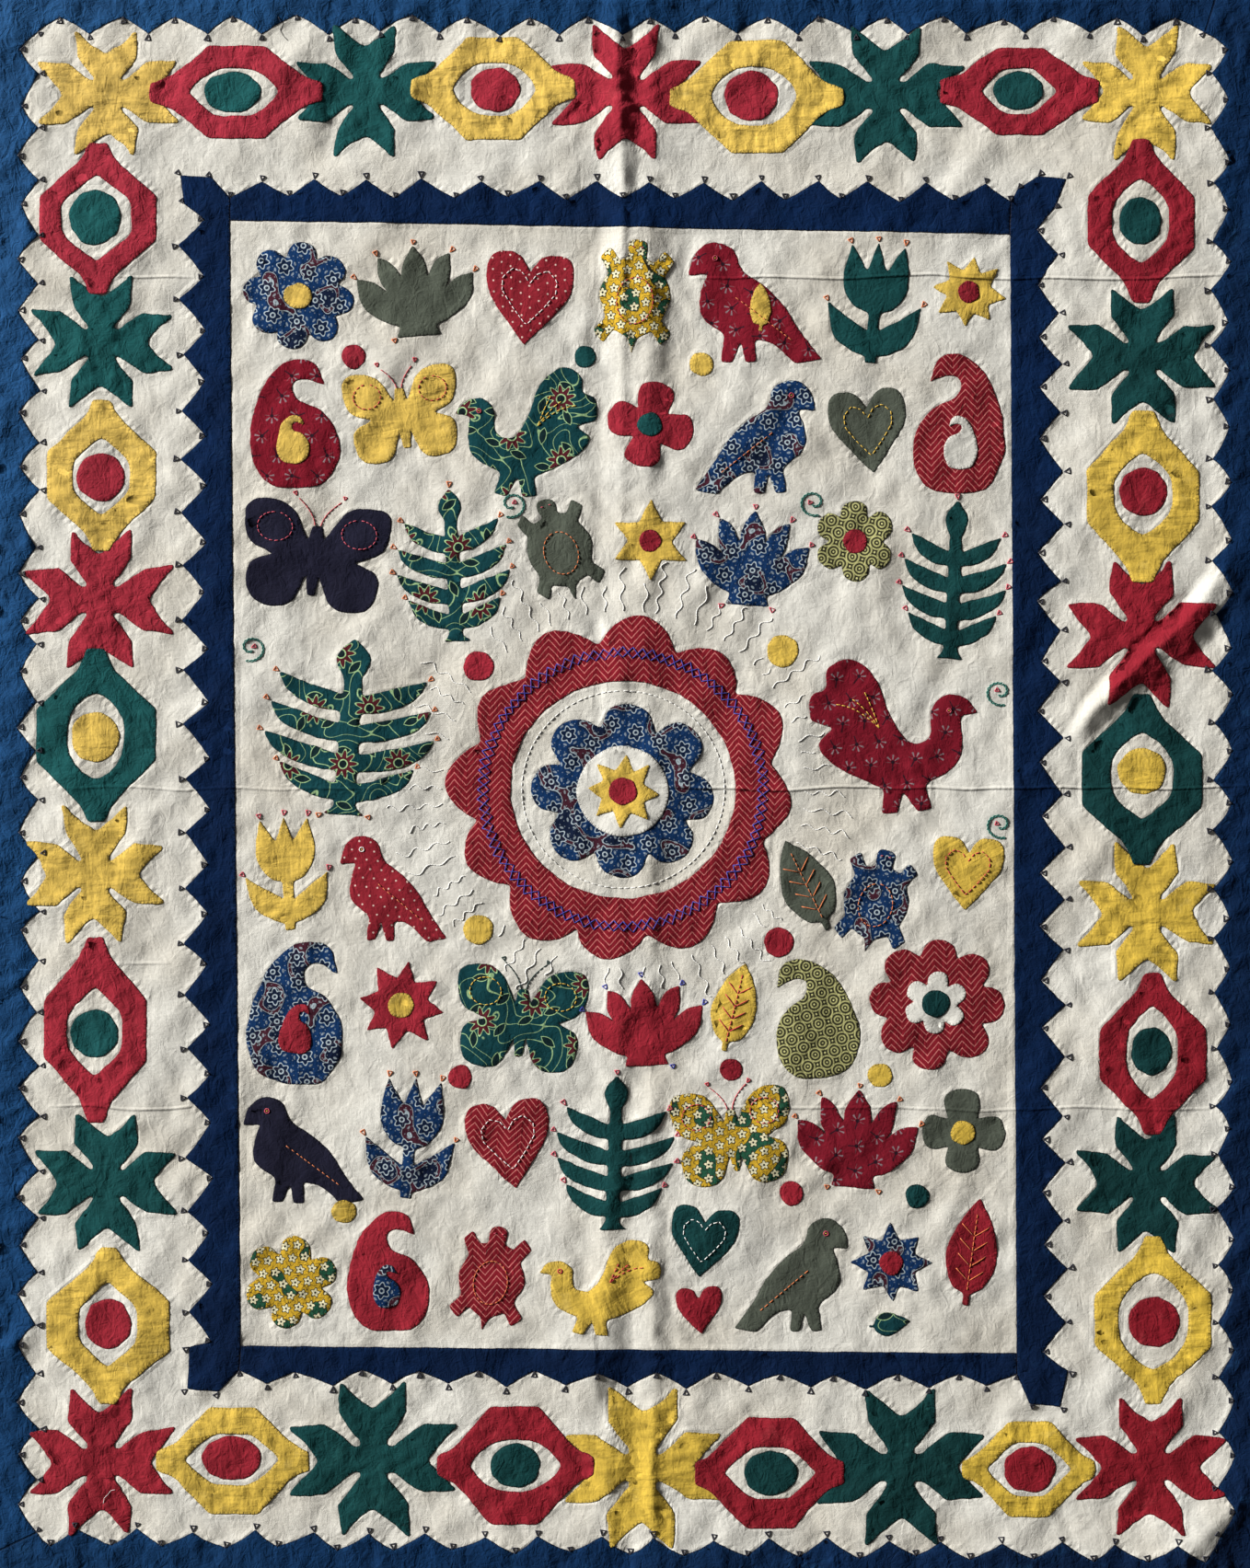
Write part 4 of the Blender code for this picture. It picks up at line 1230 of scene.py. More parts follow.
def paint_scales(net, x, y):
    ground, ink, pale = srgb(124, 122, 78), srgb(30, 30, 26), srgb(206, 204, 140)
    size = 15.0
    best = None
    for k, (dx, dy) in enumerate(((0.0, 0.0), (7.5, 7.5))):
        u, v, _, _ = grid(net, x + dx, y + dy, size, 0.0)
        r = net.math("SQRT", u * u + v * v)
        best = r if best is None else net.low(best, r)
    lines = net.absolute(net.fract(best / 2.5) - 0.5) * 2.5
    colour = net.mix(net.soft(lines, 0.30, 0.6, 1.0, 0.0), ground, ink)
    second = net.absolute(net.fract(best / 2.5 + 0.5) - 0.5) * 2.5
    colour = net.mix(net.soft(second, 0.16, 0.42, 0.8, 0.0), colour, pale)
    u, v, _, _ = grid(net, x + 3.7, y + 3.7, size * 0.5, 0.0)
    r = net.math("SQRT", u * u + v * v)
    return net.mix(net.soft(r, 0.5, 0.9, 1.0, 0.0), colour, pale)


def make_materials():
    m = MATERIALS
    m["white"] = white_ground()
    m["blue"] = plain(
        "blue_cotton", BLUE, crinkle=0.78, fade=0.16, pale=srgb(34, 80, 124), rim_dark=0.6, tick=0.15, cast=(-0.55, -0.32),
        drift=((-0.75, -0.40), (-0.16, -0.08), None),
        seams=[((1309, 35), (1322, -6)), ((40, 1665), (-6, 1687))], grainy=0.3,
    )
    m["navy"] = plain(
        "navy_cotton", NAVY, crinkle=0.62, fade=0.14, pale=srgb(20, 54, 92), rim_dark=0.6, tick=0.15, cast=(-0.10, -0.22),
    )
    m["red"] = plain("red_cotton", RED, crinkle=0.62, fade=0.14, pale=srgb(188, 74, 80), cast=(-0.20, -0.16),
                    drift=(None, (-0.22, -0.14), (-0.16, -0.14)))
    m["yellow"] = plain(
        "yellow_cotton", YELLOW, crinkle=0.30, fade=0.09, ridge=(0.0, 1.0), pale=srgb(230, 206, 128), rim_dark=0.4,
        cast=(-0.05, -0.12), drift=(None, None, (-0.20, -0.20)),
    )
    m["yellow_across"] = plain(
        "yellow_cotton_across", YELLOW, crinkle=0.30, fade=0.09, ridge=(math.pi / 2, 1.0),
        pale=srgb(230, 206, 128), rim_dark=0.4, cast=(-0.05, -0.12), drift=(None, None, (-0.20, -0.20)),
    )
    m["green"] = plain(
        "green_cotton", GREEN, crinkle=0.58, fade=0.16, pale=srgb(44, 98, 94), rim_dark=0.6, cast=(-0.40, -0.30),
    )
    m["olive"] = plain("olive_cotton", OLIVE, crinkle=0.45, fade=0.14, pale=srgb(104, 108, 96), cast=(-0.12, -0.10))
    m["black"] = plain("ink_cotton", BLACK, crinkle=0.42, fade=0.12, pale=srgb(46, 44, 62), cast=(-0.12, -0.10))
    m["white_patch"] = plain("white_cotton_piece", WHITE, crinkle=0.40, fade=0.05, rim_dark=0.25, fine=0.6)
    for name, painter in (
        ("chevron", paint_chevron), ("dots", paint_dots), ("stripes", paint_stripes),
        ("indigo", paint_indigo), ("daisies", paint_daisies), ("leaves", paint_leaves),
        ("sprigs", paint_sprigs), ("scales", paint_scales),
    ):
        m[name] = printed(name + "_print", painter, crinkle=0.42, fade=0.10, cast=(-0.18, -0.14))
    for name, colour in (
        ("t_navy", srgb(24, 26, 46)), ("t_white", srgb(250, 248, 240)), ("t_red", srgb(196, 34, 60)), ("t_pink", srgb(206, 74, 96)),
        ("t_green", srgb(20, 116, 104)), ("t_blue", srgb(48, 58, 170)), ("t_yellow", srgb(232, 190, 66)),
        ("t_orange", srgb(214, 116, 58)), ("t_dark", srgb(40, 34, 40)), ("t_deepgreen", srgb(12, 58, 54)),
        ("t_grey", srgb(150, 142, 130)),
    ):
        m[name] = thread_material(name, colour)


def thread_material(name, colour):
    net = Net("thread_" + name[2:])
    p = net.position()
    twist = net.noise(p, 1400.0, 1.0)
    base = net.mix(net.soft(twist, 0.3, 0.7), tuple(c * 0.66 for c in colour), tuple(min(1, c * 1.16) for c in colour))
    net.feed(net.shader.inputs["Base Color"], base)
    net.feed(net.shader.inputs["Roughness"], 0.62 + (twist - 0.5) * 0.3)
    net.shader.inputs["Sheen Weight"].default_value = 0.15
    bump = net.node("ShaderNodeBump")
    bump.inputs["Strength"].default_value = 0.6
    bump.inputs["Distance"].default_value = 0.0001
    net.feed(bump.inputs["Height"], twist)
    net.tree.links.new(bump.outputs[0], net.shader.inputs["Normal"])
    return net.mat


make_materials()


# ------------------------------------------------------------- the ground
def stray(side, at):
    return np.interp(at, [p[0] for p in side], [p[1] for p in side])


def ground_points(nu, nv, inset):
    """A grid over the cloth that follows its unsteady edges."""
    w, h = CLOTH_W, CLOTH_H
    # the columns lie closer on the folds
    at = np.linspace(0, 1, 2001)
    x = at * w / UNIT + MIDDLE[0] - w / UNIT / 2
    dense = 1.0 + 1.2 * ((x > 625) & (x < 755)) + 0.3 * (x > 1140)
    reach = np.concatenate([[0], np.cumsum(0.5 * (dense[1:] + dense[:-1]))])
    u = np.interp(np.linspace(0, 1, nu), reach / reach[-1], at)
    u, v = np.meshgrid(u, np.linspace(0, 1, nv))
    bottom = -h / 2 + stray(SIDES[0], u * w) + inset
    right = w / 2 - stray(SIDES[1], v * h) - inset
    top = h / 2 - stray(SIDES[2], (1 - u) * w) - inset
    left = -w / 2 + stray(SIDES[3], (1 - v) * h) + inset
    return left + (right - left) * u, bottom + (top - bottom) * v


def ground(near):
    nu, nv = 265, 331
    x, y = ground_points(nu, nv, 0.7)
    under = blur(np.clip(LIFT / 0.42, 0, 1), 1.6)
    deep = blur((LIFT > 0.2).astype(float), 3.0)
    sunk = 0.20 * np.clip(under - 0.15, 0, 1) + 0.85 * np.clip((deep - 0.86) / 0.12, 0, 1)
    z = np.maximum(0.16, sample(BASE, x, y) - sample(sunk, x, y))
    k = 3
    cu, cv = (nu - 1) // k + 1, (nv - 1) // k + 1
    bx, by = ground_points(cu, cv, 0.7)
    lowest = BASE - sunk
    for axis in (0, 1):
        kept = lowest.copy()
        for step in range(1, 8):
            kept = np.minimum(kept, np.minimum(np.roll(lowest, step, axis), np.roll(lowest, -step, axis)))
        lowest = kept
    bz = np.clip(sample(lowest, bx, by) - 0.45, 0.05, None)
    verts = np.concatenate(
        [np.column_stack((x.ravel(), y.ravel(), z.ravel())), np.column_stack((bx.ravel(), by.ravel(), bz.ravel()))]
    )
    i = np.arange(nu * nv).reshape(nv, nu)
    top = np.stack([i[:-1, :-1], i[:-1, 1:], i[1:, 1:], i[1:, :-1]], axis=-1).reshape(-1, 4)
    j = nu * nv + np.arange(cu * cv).reshape(cv, cu)
    low = np.stack([j[:-1, :-1], j[1:, :-1], j[1:, 1:], j[:-1, 1:]], axis=-1).reshape(-1, 4)
    faces = top.tolist() + low.tolist()

    def side(fine, coarse):
        """Faces between the top's edge and the underside's coarser one."""
        for a in range(len(coarse) - 1):
            f = fine[a * k : a * k + k + 1]
            half = k // 2
            for b in range(k):
                faces.append((int(coarse[a] if b < half else coarse[a + 1]), int(f[b + 1]), int(f[b])))
                if b == half - 1:
                    faces.append((int(coarse[a]), int(coarse[a + 1]), int(f[half])))

    side(i[0, :], j[0, :])
    side(i[:, -1], j[:, -1])
    side(i[-1, ::-1], j[-1, ::-1])
    side(i[::-1, 0], j[::-1, 0])
    # the side faces are turned so that they face out
    thing = make("white_ground", (verts / 1000).tolist(), faces, MATERIALS["white"])
    layer = thing.data.attributes.new("near", "FLOAT", "POINT")
    values = np.concatenate([sample(near, x.ravel(), y.ravel()), np.zeros(cu * cv)])
    layer.data.foreach_set("value", values.astype(np.float32))
    return thing


# ------------------------------------------------------------- the borders
def corner_nodes(points, tip_r, notch_r, bow, rng, start_tip=True):
    out = []
    for k, (x, y) in enumerate(points):
        tip = (k % 2 == 0) == start_tip
        r = tip_r if tip else notch_r
        out.append((x, y, r * rng.uniform(0.6, 1.4), bow * rng.uniform(0.3, 1.6)))
    return out


KNOTS = []  # (apex x, y, direction x, y) in layout units, apex at the blue


def border_pieces():
    rng = random.Random(11)
    look = random.Random(311)
    loop = []
    for corner, run in zip(CORNERS, OUTER_RUNS):
        loop.append((*corner, 3.0, -1.0))
        pts = teeth(rng, *run)
        loop += corner_nodes(pts, 4.2, 0.8, -1.1, look)
        inward = {"x": (0, 1 if run[3] < 800 else -1), "y": (1 if run[3] < 700 else -1, 0)}[run[0]]
        for k, p in enumerate(pts):
            KNOTS.append((p[0], p[1], inward[0], inward[1], k % 2 == 0))
        cx, cy = (1 if corner[0] < 700 else -1), (1 if corner[1] < 800 else -1)
        KNOTS.append((*corner, cx * 0.7, cy * 0.7, True))
    opening = mm_of(traced_by_nodes(loop, 3.6))
    return opening


def outer_loop():
    """The cloth's outer edge as a dense anticlockwise line."""
    w, h = CLOTH_W, CLOTH_H
    out = []
    for side, (ax, ay), (ux, uy), size in zip(
        SIDES, ((-w / 2, -h / 2), (w / 2, -h / 2), (w / 2, h / 2), (-w / 2, h / 2)),
        ((1, 0), (0, 1), (-1, 0), (0, -1)), (w, h, w, h),
    ):
        n = int(size / 2.6)
        for k in range(n):
            t = size * k / n
            off = float(stray(side, t))
            out.append((ax + ux * t - uy * off, ay + uy * t + ux * off))
    return np.array(out)


def strip_outlines():
    rng = random.Random(23)
    look = random.Random(323)
    top, right, bottom, left = (teeth(rng, *run) for run in INNER_RUNS)
    for pts, out in ((top, (0, -1)), (right, (1, 0)), (bottom, (0, 1)), (left, (-1, 0))):
        for k, p in enumerate(pts):
            KNOTS.append((p[0], p[1], out[0], out[1], k % 2 == 0))
    for block, (dx, dy) in zip(BLOCKS, ((-0.7, -0.7), (0.7, -0.7), (0.7, 0.7), (-0.7, 0.7))):
        for p in block:
            KNOTS.append((p[0], p[1], dx, dy, False))
    a, b, c, d = FIELD
    s = 0.12

    def plain_corner(x, y, r=0.8, bow=0.0):
        return (x, y, r, bow)

    def run(points):
        return corner_nodes(points, 0.8, 1.6, 0.6, look, start_tip=True)

    def moved(p, dx):
        return plain_corner(p[0] + dx, p[1], 0.6)

    return {
        "frame_top": [moved(a, s), moved(top[0], s)] + run(top[1:-1]) + [moved(top[-1], -s), moved(b, -s)],
        "frame_right": [moved(b, s), moved(top[-1], s)]
        + [plain_corner(*p, 1.2) for p in BLOCKS[1]]
        + run(right)
        + [plain_corner(*p, 1.2) for p in BLOCKS[2]]
        + [moved(bottom[0], s), moved(c, s)],
        "frame_bottom": [moved(c, -s), moved(bottom[0], -s)] + run(bottom[1:-1]) + [moved(bottom[-1], s), moved(d, s)],
        "frame_left": [moved(d, -s), moved(bottom[-1], -s)]
        + [plain_corner(*p, 1.2) for p in BLOCKS[3]]
        + run(left)
        + [plain_corner(*p, 1.2) for p in BLOCKS[0]]
        + [moved(top[0], -s), moved(a, -s)],
    }


# ------------------------------------------------------------- the ring motifs
def flower_outline(rng, look, half_w, half_h, x, y):
    nodes = []
    for arm, row in enumerate(flower_points(rng, half_w, half_h)):
        turn = arm * math.pi / 2
        c, s = round(math.cos(turn)), round(math.sin(turn))
        (a0, a1, a2, a3, a4, a5, a6, a7) = row
        round_notch = look.uniform(7, 16)
        local = [
            (a0[0] + 2.6, a0[1] - 1.2, 2.0, -look.uniform(-0.6, 0.8)),
            (a1[0], a1[1], look.uniform(1.6, 4.5), -look.uniform(-0.8, 0.8)),
            (a2[0], a2[1] - 1.6, 1.4, 0.0),
            (a2[0] - 0.4, a2[1] + 2.2, 1.4, look.uniform(-0.4, 2.2)),
            (a3[0], a3[1] - 3.0, round_notch * 0.6, 0.0),
            (a3[0], a3[1] + 3.0, round_notch * 0.6, look.uniform(-0.4, 2.2)),
            (a4[0] - 0.4, a4[1] - 2.2, 1.4, 0.0),
            (a4[0], a4[1] + 1.6, 1.4, -look.uniform(-0.8, 0.8)),
            (a5[0], a5[1], look.uniform(1.6, 4.5), -look.uniform(-0.6, 0.8)),
            (a6[0] + 2.6, a6[1] + 1.2, 2.0, 0.0),
            (14.6, 14.6, 3.2, 0.0),
        ]
        nodes += [(x + u * c - v * s, y + u * s + v * c, r, bow) for u, v, r, bow in local]
    return mm_of(traced_by_nodes(nodes, 3.4))


def eye_outline(rng, look, half_w, half_h, x, y):
    sizes = {0: 2.8, 1: 9.0, 2: 3.6}
    nodes = []
    for u, v, kind in eye_points(rng, half_w, half_h):
        nodes.append((x + u, y + v, sizes[kind] * look.uniform(0.8, 1.2), look.uniform(-0.6, 0.6)))
    return mm_of(traced_by_nodes(nodes, 3.4))


# how far each eye's opening is drawn to points, from an oval at 0
POINTED = [0.6, 0.4, 0.25, 0.9, 0.55, 0.6, 0.55, 0.6, 0.4, 1.0, 0.9, 0.5, 0.7, 0.9, 0.8, 0.25, 0.8, 1.0]


def almond(half_w, half_h, x, y, pointed, look):
    """The eye's opening: between an oval and a six-sided one with its points
    at the long ends."""
    upright = half_h > half_w
    a, b = (half_h, half_w) if upright else (half_w, half_h)
    flat = 0.40
    six = [(1.03, 0.0, 4.0), (flat, 1.0, 9.0), (-flat, 1.0, 9.0), (-1.03, 0.0, 4.0), (-flat, -1.0, 9.0), (flat, -1.0, 9.0)]
    corner = mm_of(traced_by_nodes([(u * a, v * b, r) for u, v, r in six], 3.0)) - mm_of([(0, 0)])
    t = np.arctan2(-corner[:, 1] * a, corner[:, 0] * b)
    oval = np.column_stack((np.cos(t) * a * UNIT, -np.sin(t) * b * UNIT))
    out = corner * pointed + oval * (1 - pointed)
    if upright:
        out = np.column_stack((out[:, 1], -out[:, 0]))
    return out + mm_of([(x, y)])


def disc(rx, ry, x, y, look):
    n = int(2 * math.pi * (rx + ry) / 2 / 3.2)
    phase = look.uniform(0, 6.28)
    out = []
    for k in range(n):
        t = 2 * math.pi * k / n
        r = 1 + 0.012 * math.sin(9 * t + phase) + 0.014 * math.sin(5 * t + 2 * phase)
        out.append((x + rx * r * math.cos(t), y + ry * r * math.sin(t)))
    return mm_of(out)


PIECES = {}


def ring_motifs():
    rng = random.Random(7)
    look = random.Random(77)
    flowers, eyes = [], []
    for number, row in enumerate(MOTIFS):
        kind, colour, x, y, half_w, half_h = row[:6]
        if kind == "eye":
            eyes.append((number, row, eye_outline(rng, look, half_w, half_h, x, y)))
        else:
            flowers.append((number, row, flower_outline(rng, look, half_w, half_h, x, y)))
    threads = {"yellow": "t_yellow", "red": "t_red", "green": "t_deepgreen"}
    for k, (number, row, loop) in enumerate(flowers, start=1):
        colour = row[1]
        name = f"flower_{k:02d}"
        more = {"ridge": "p0" if k % 2 else "p1", "ridge_h": 0.23}
        mat = MATERIALS[colour]
        if colour == "yellow":
            more = {"ridge": "y0", "ridge_h": 0.27, "gather": 0.30, "lift": 0.66}
        thing, _ = patch(
            name + "_sewn", mat, [loop], 1000 + number, thread=threads[colour], gap=2.8, **more
        )
        colour + "_cotton"
        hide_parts(name)
        PIECES[name] = thing
    for k, (number, row, loop) in enumerate(eyes, start=1):
        colour = row[1]
        hole = almond(row[6], row[7], (row[2] + row[9]) / 2, (row[3] + row[10]) / 2, POINTED[k - 1], look)
        name = f"ring_{k:02d}"
        upright = row[5] > row[4]
        more = {"ridge": "p0" if k % 2 else "p1", "ridge_h": 0.23}
        mat = MATERIALS[colour]
        if colour == "yellow":
            more = {"ridge": "y0" if upright else "y1", "ridge_h": 0.32, "gather": 0.38}
            mat = MATERIALS["yellow" if upright else "yellow_across"]
        thing, _ = patch(
            name + "_sewn", mat, [loop, hole], 2000 + number, thread=threads[colour], gap=2.8, **more
        )
        colour + "_cotton"
        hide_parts(name)
        PIECES[name] = thing
        dot = disc(row[11], row[12], row[9], row[10], look)
        name = f"disc_{k:02d}"
        thing, _ = patch(
            name + "_sewn", MATERIALS[row[8]], [dot], 3000 + number, thread=threads[row[8]],
            gather=0.24, ridge="p1", ridge_h=0.06, gap=3.2,
        )
        row[8] + "_cotton"
        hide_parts(name)
        PIECES[name] = thing


# ------------------------------------------------------------- build
opening = border_pieces()
frames = strip_outlines()
border, _ = patch(
    "outer_border_sewn", MATERIALS["blue"], [outer_loop(), opening], 501, wave=0.18,
    thread="t_navy", gap=4.2, ridge="border", ridge_h=0.80, pitch=3.4,
)
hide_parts("outer_border")
for k, (name, nodes) in enumerate(frames.items()):
    loop = mm_of(traced_by_nodes(nodes, 3.6))
    thing, _ = patch(
        name + "_sewn", MATERIALS["navy"], [loop], 520 + k, wave=0.16, thread="t_navy",
        gap=4.2, ridge="p1", ridge_h=0.30, pitch=3.4,
    )
    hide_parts(name)
ring_motifs()


def knots():
    """A small open triangle of thread at every tooth's tip and notch."""
    rng = np.random.default_rng(91)
    paths = []
    for x, y, dx, dy, _ in KNOTS:
        px, py = place(x, y)
        d = np.array([dx, -dy], float)
        d /= np.linalg.norm(d)
        turn = rng.uniform(-0.25, 0.25)
        c, s = math.cos(turn), math.sin(turn)
        d = np.array([d[0] * c - d[1] * s, d[0] * s + d[1] * c])
        n = np.array([-d[1], d[0]])
        size = rng.uniform(0.85, 1.15)
        p = np.array([px, py])
        a = p + d * 0.5
        b = p + d * 4.3 * size + n * 2.0 * size
        e = p + d * 4.3 * size - n * 2.0 * size
        corners = [a, b, e, a]
        for q, r in zip(corners, corners[1:]):
            line = [q + (r - q) * t for t in (-0.06, 0.25, 0.75, 1.06)]
            z = base_at([l[0] for l in line], [l[1] for l in line])
            rise = (0.10, 0.42, 0.42, 0.10)
            paths.append([(l[0], l[1], zz + rr) for l, zz, rr in zip(line, z, rise)])
    return tubes("tooth_knots", paths, 0.46, MATERIALS["t_navy"], sides=5)


knot_piece = knots()

# ------------------------------------------------------------- the field
SOFT = 999.0  # a node passed in a curve


def mirrored(points):
    """A closed half outline, top to bottom on the right, and its mirror."""
    back = [(-x, y, r) for x, y, r in points[::-1] if abs(x) > 1e-6]
    return points + back


def shape_rosette(petals, deep, look):
    out = []
    for k in range(petals):
        a = 2 * math.pi * k / petals + look.uniform(-0.05, 0.05)
        w = math.pi / petals
        r = look.uniform(0.93, 1.0)
        out.append((math.sin(a - w) * (1 - deep), -math.cos(a - w) * (1 - deep), 0.02))
        out.append((math.sin(a - 0.62 * w) * r * 1.0, -math.cos(a - 0.62 * w) * r * 1.0, SOFT))
        out.append((math.sin(a) * r * 1.08, -math.cos(a) * r * 1.08, SOFT))
        out.append((math.sin(a + 0.62 * w) * r * 1.0, -math.cos(a + 0.62 * w) * r * 1.0, SOFT))
    return out


def shape_star(points, deep, look):
    out = []
    for k in range(points):
        a = 2 * math.pi * k / points + look.uniform(-0.05, 0.05)
        b = a + math.pi / points
        r = look.uniform(0.9, 1.0)
        out.append((math.sin(a) * r, -math.cos(a) * r, 0.05))
        out.append((math.sin(b) * deep, -math.cos(b) * deep, 0.05))
    return out


def shape_paisley(look):
    return [
        (0.05, 1.06, SOFT), (0.66, 1.02, SOFT), (1.02, 0.62, SOFT), (1.0, 0.16, SOFT), (0.66, -0.24, SOFT), (0.16, -0.38, SOFT),
        (0.06, -0.66, SOFT), (0.36, -0.76, SOFT), (0.80, -0.60, 0.05), (0.66, -1.02, SOFT), (0.04, -1.08, SOFT),
        (-0.56, -0.74, SOFT), (-0.92, -0.14, SOFT), (-1.04, 0.42, SOFT), (-0.72, 0.98, SOFT),
    ]


def shape_leaf(look):
    return mirrored([(0.0, -1.0, 0.04), (0.62, -0.55, SOFT), (1.02, 0.1, SOFT), (0.62, 0.68, SOFT), (0.12, 0.78, 0.1),
                     (0.10, 1.0, 0.04)])


def shape_heart(look):
    return mirrored([(0.0, -0.58, 0.03), (0.30, -1.04, SOFT), (0.98, -0.98, SOFT), (1.05, -0.22, SOFT), (0.56, 0.38, SOFT),
                     (0.0, 1.0, 0.04)])


def shape_tulip(look):
    return mirrored([
        (0.0, -1.0, 0.06), (0.20, -0.52, 0.10), (0.56, -0.96, 0.06), (0.74, -0.30, SOFT), (0.44, 0.10, SOFT),
        (0.12, 0.16, 0.06), (0.11, 0.46, 0.05), (0.46, 0.30, SOFT), (0.98, 0.02, 0.05), (0.86, 0.62, SOFT), (0.36, 0.84, SOFT),
        (0.12, 0.88, 0.04), (0.12, 1.0, 0.04),
    ])


def shape_lotus(look):
    return mirrored([
        (0.0, -1.0, 0.07), (0.20, -0.62, SOFT), (0.22, -0.30, 0.05), (0.38, -0.66, SOFT), (0.62, -0.78, 0.06), (0.62, -0.30, SOFT),
        (0.50, -0.02, 0.05), (0.72, -0.26, SOFT), (1.0, -0.30, 0.05), (0.94, 0.30, SOFT), (0.56, 0.66, SOFT), (0.30, 0.78, 0.08),
        (0.38, 1.0, 0.05),
    ])


def shape_butterfly(look):
    return mirrored([
        (0.07, -0.62, 0.05), (0.12, -0.34, 0.05), (0.42, -1.04, SOFT), (1.10, -1.06, SOFT), (1.04, -0.20, SOFT), (0.60, 0.02, 0.05),
        (1.00, 0.22, SOFT), (0.92, 0.96, SOFT), (0.30, 1.04, SOFT), (0.10, 0.36, 0.05), (0.06, 0.74, 0.05),
    ])


def shape_parrot(look):
    return [
        (-1.0, -0.46, 0.05), (-0.94, -0.80, SOFT), (-0.66, -1.04, SOFT), (-0.30, -0.92, SOFT), (-0.22, -0.52, SOFT), (0.14, -0.30, SOFT),
        (0.46, 0.06, SOFT), (0.70, 0.50, SOFT), (1.0, 0.92, 0.06), (0.62, 1.0, 0.06), (0.30, 0.66, SOFT), (0.0, 0.60, 0.10),
        (0.02, 0.98, 0.05), (-0.16, 0.98, 0.05), (-0.22, 0.62, 0.08), (-0.34, 0.98, 0.05), (-0.52, 0.96, 0.05), (-0.46, 0.52, 0.10),
        (-0.86, 0.20, SOFT), (-0.80, -0.26, SOFT), (-0.70, -0.50, 0.10),
    ]


def shape_tortoise(look):
    return mirrored([
        (0.0, -1.02, SOFT), (0.24, -0.96, SOFT), (0.20, -0.66, 0.06), (0.42, -0.60, 0.06), (0.62, -0.84, 0.08), (0.86, -0.66, 0.08),
        (0.64, -0.38, 0.06), (0.86, 0.0, SOFT), (0.66, 0.42, 0.06), (0.90, 0.68, 0.08), (0.66, 0.88, 0.08), (0.44, 0.64, 0.06),
        (0.10, 0.78, 0.06), (0.0, 1.04, 0.05),
    ])


def shape_sprig(pairs, look):
    half = [(0.0, -1.0, 0.06), (0.24, -0.78, SOFT), (0.10, -0.56, 0.05)]
    step = 1.36 / pairs
    for k in range(pairs):
        y = -0.42 + (k + 0.5) * step * 0.98
        w = (0.70 + 0.30 * math.sin(math.pi * (k + 0.8) / (pairs + 0.4))) * look.uniform(0.94, 1.03)
        half.append((0.11, y - 0.30 * step, 0.05))
        half.append((0.45 * w, y - 0.52 * step, SOFT))
        half.append((w, y - 0.94 * step, 0.05))
        half.append((0.88 * w, y - 0.28 * step, SOFT))
        half.append((0.46 * w, y + 0.20 * step, SOFT))
        half.append((0.12, y + 0.26 * step, 0.05))
    half.append((0.12, 0.90, 0.05))
    half.append((0.24, 1.0, 0.04))
    return mirrored(half)


def shape_disc(look):
    return [(math.sin(a) * 1.035, -math.cos(a) * 1.035, SOFT) for a in (2 * math.pi * k / 12 for k in range(12))]


def shape_feather(look):
    """A peacock standing with a raised tail."""
    return [
        (-1.0, -0.30, 0.04), (-0.86, -0.50, SOFT), (-0.62, -0.56, SOFT), (-0.44, -0.36, SOFT), (-0.46, 0.02, SOFT), (-0.20, 0.14, SOFT),
        (0.02, -0.20, SOFT), (0.20, -0.80, SOFT), (0.52, -1.04, SOFT), (0.80, -0.86, 0.10), (0.78, -0.60, 0.06), (1.0, -0.52, SOFT),
        (0.98, -0.20, 0.06), (0.70, -0.10, 0.06), (0.92, 0.10, SOFT), (0.72, 0.36, 0.10), (0.36, 0.58, SOFT), (0.10, 0.68, 0.08),
        (0.14, 1.0, 0.04), (-0.06, 1.0, 0.04), (-0.12, 0.70, 0.06), (-0.28, 0.98, 0.04), (-0.46, 0.94, 0.04), (-0.36, 0.62, 0.08),
        (-0.78, 0.40, SOFT), (-0.82, -0.02, SOFT), (-0.78, -0.26, 0.08),
    ]


SHAPES = {
    "rosette8": lambda look: shape_rosette(8, 0.24, look), "rosette6": lambda look: shape_rosette(6, 0.34, look),
    "quatrefoil": lambda look: shape_rosette(4, 0.52, look), "star8": lambda look: shape_star(8, 0.58, look),
    "star6": lambda look: shape_star(6, 0.50, look), "paisley": shape_paisley, "leaf": shape_leaf, "heart": shape_heart,
    "tulip": shape_tulip, "lotus": shape_lotus, "butterfly": shape_butterfly, "parrot": shape_parrot,
    "tortoise": shape_tortoise, "sprig": lambda look: shape_sprig(3, look), "tall_sprig": lambda look: shape_sprig(4, look),
    "disc": shape_disc, "peacock": shape_feather, "lobes12": lambda look: shape_rosette(12, 0.12, look),
}

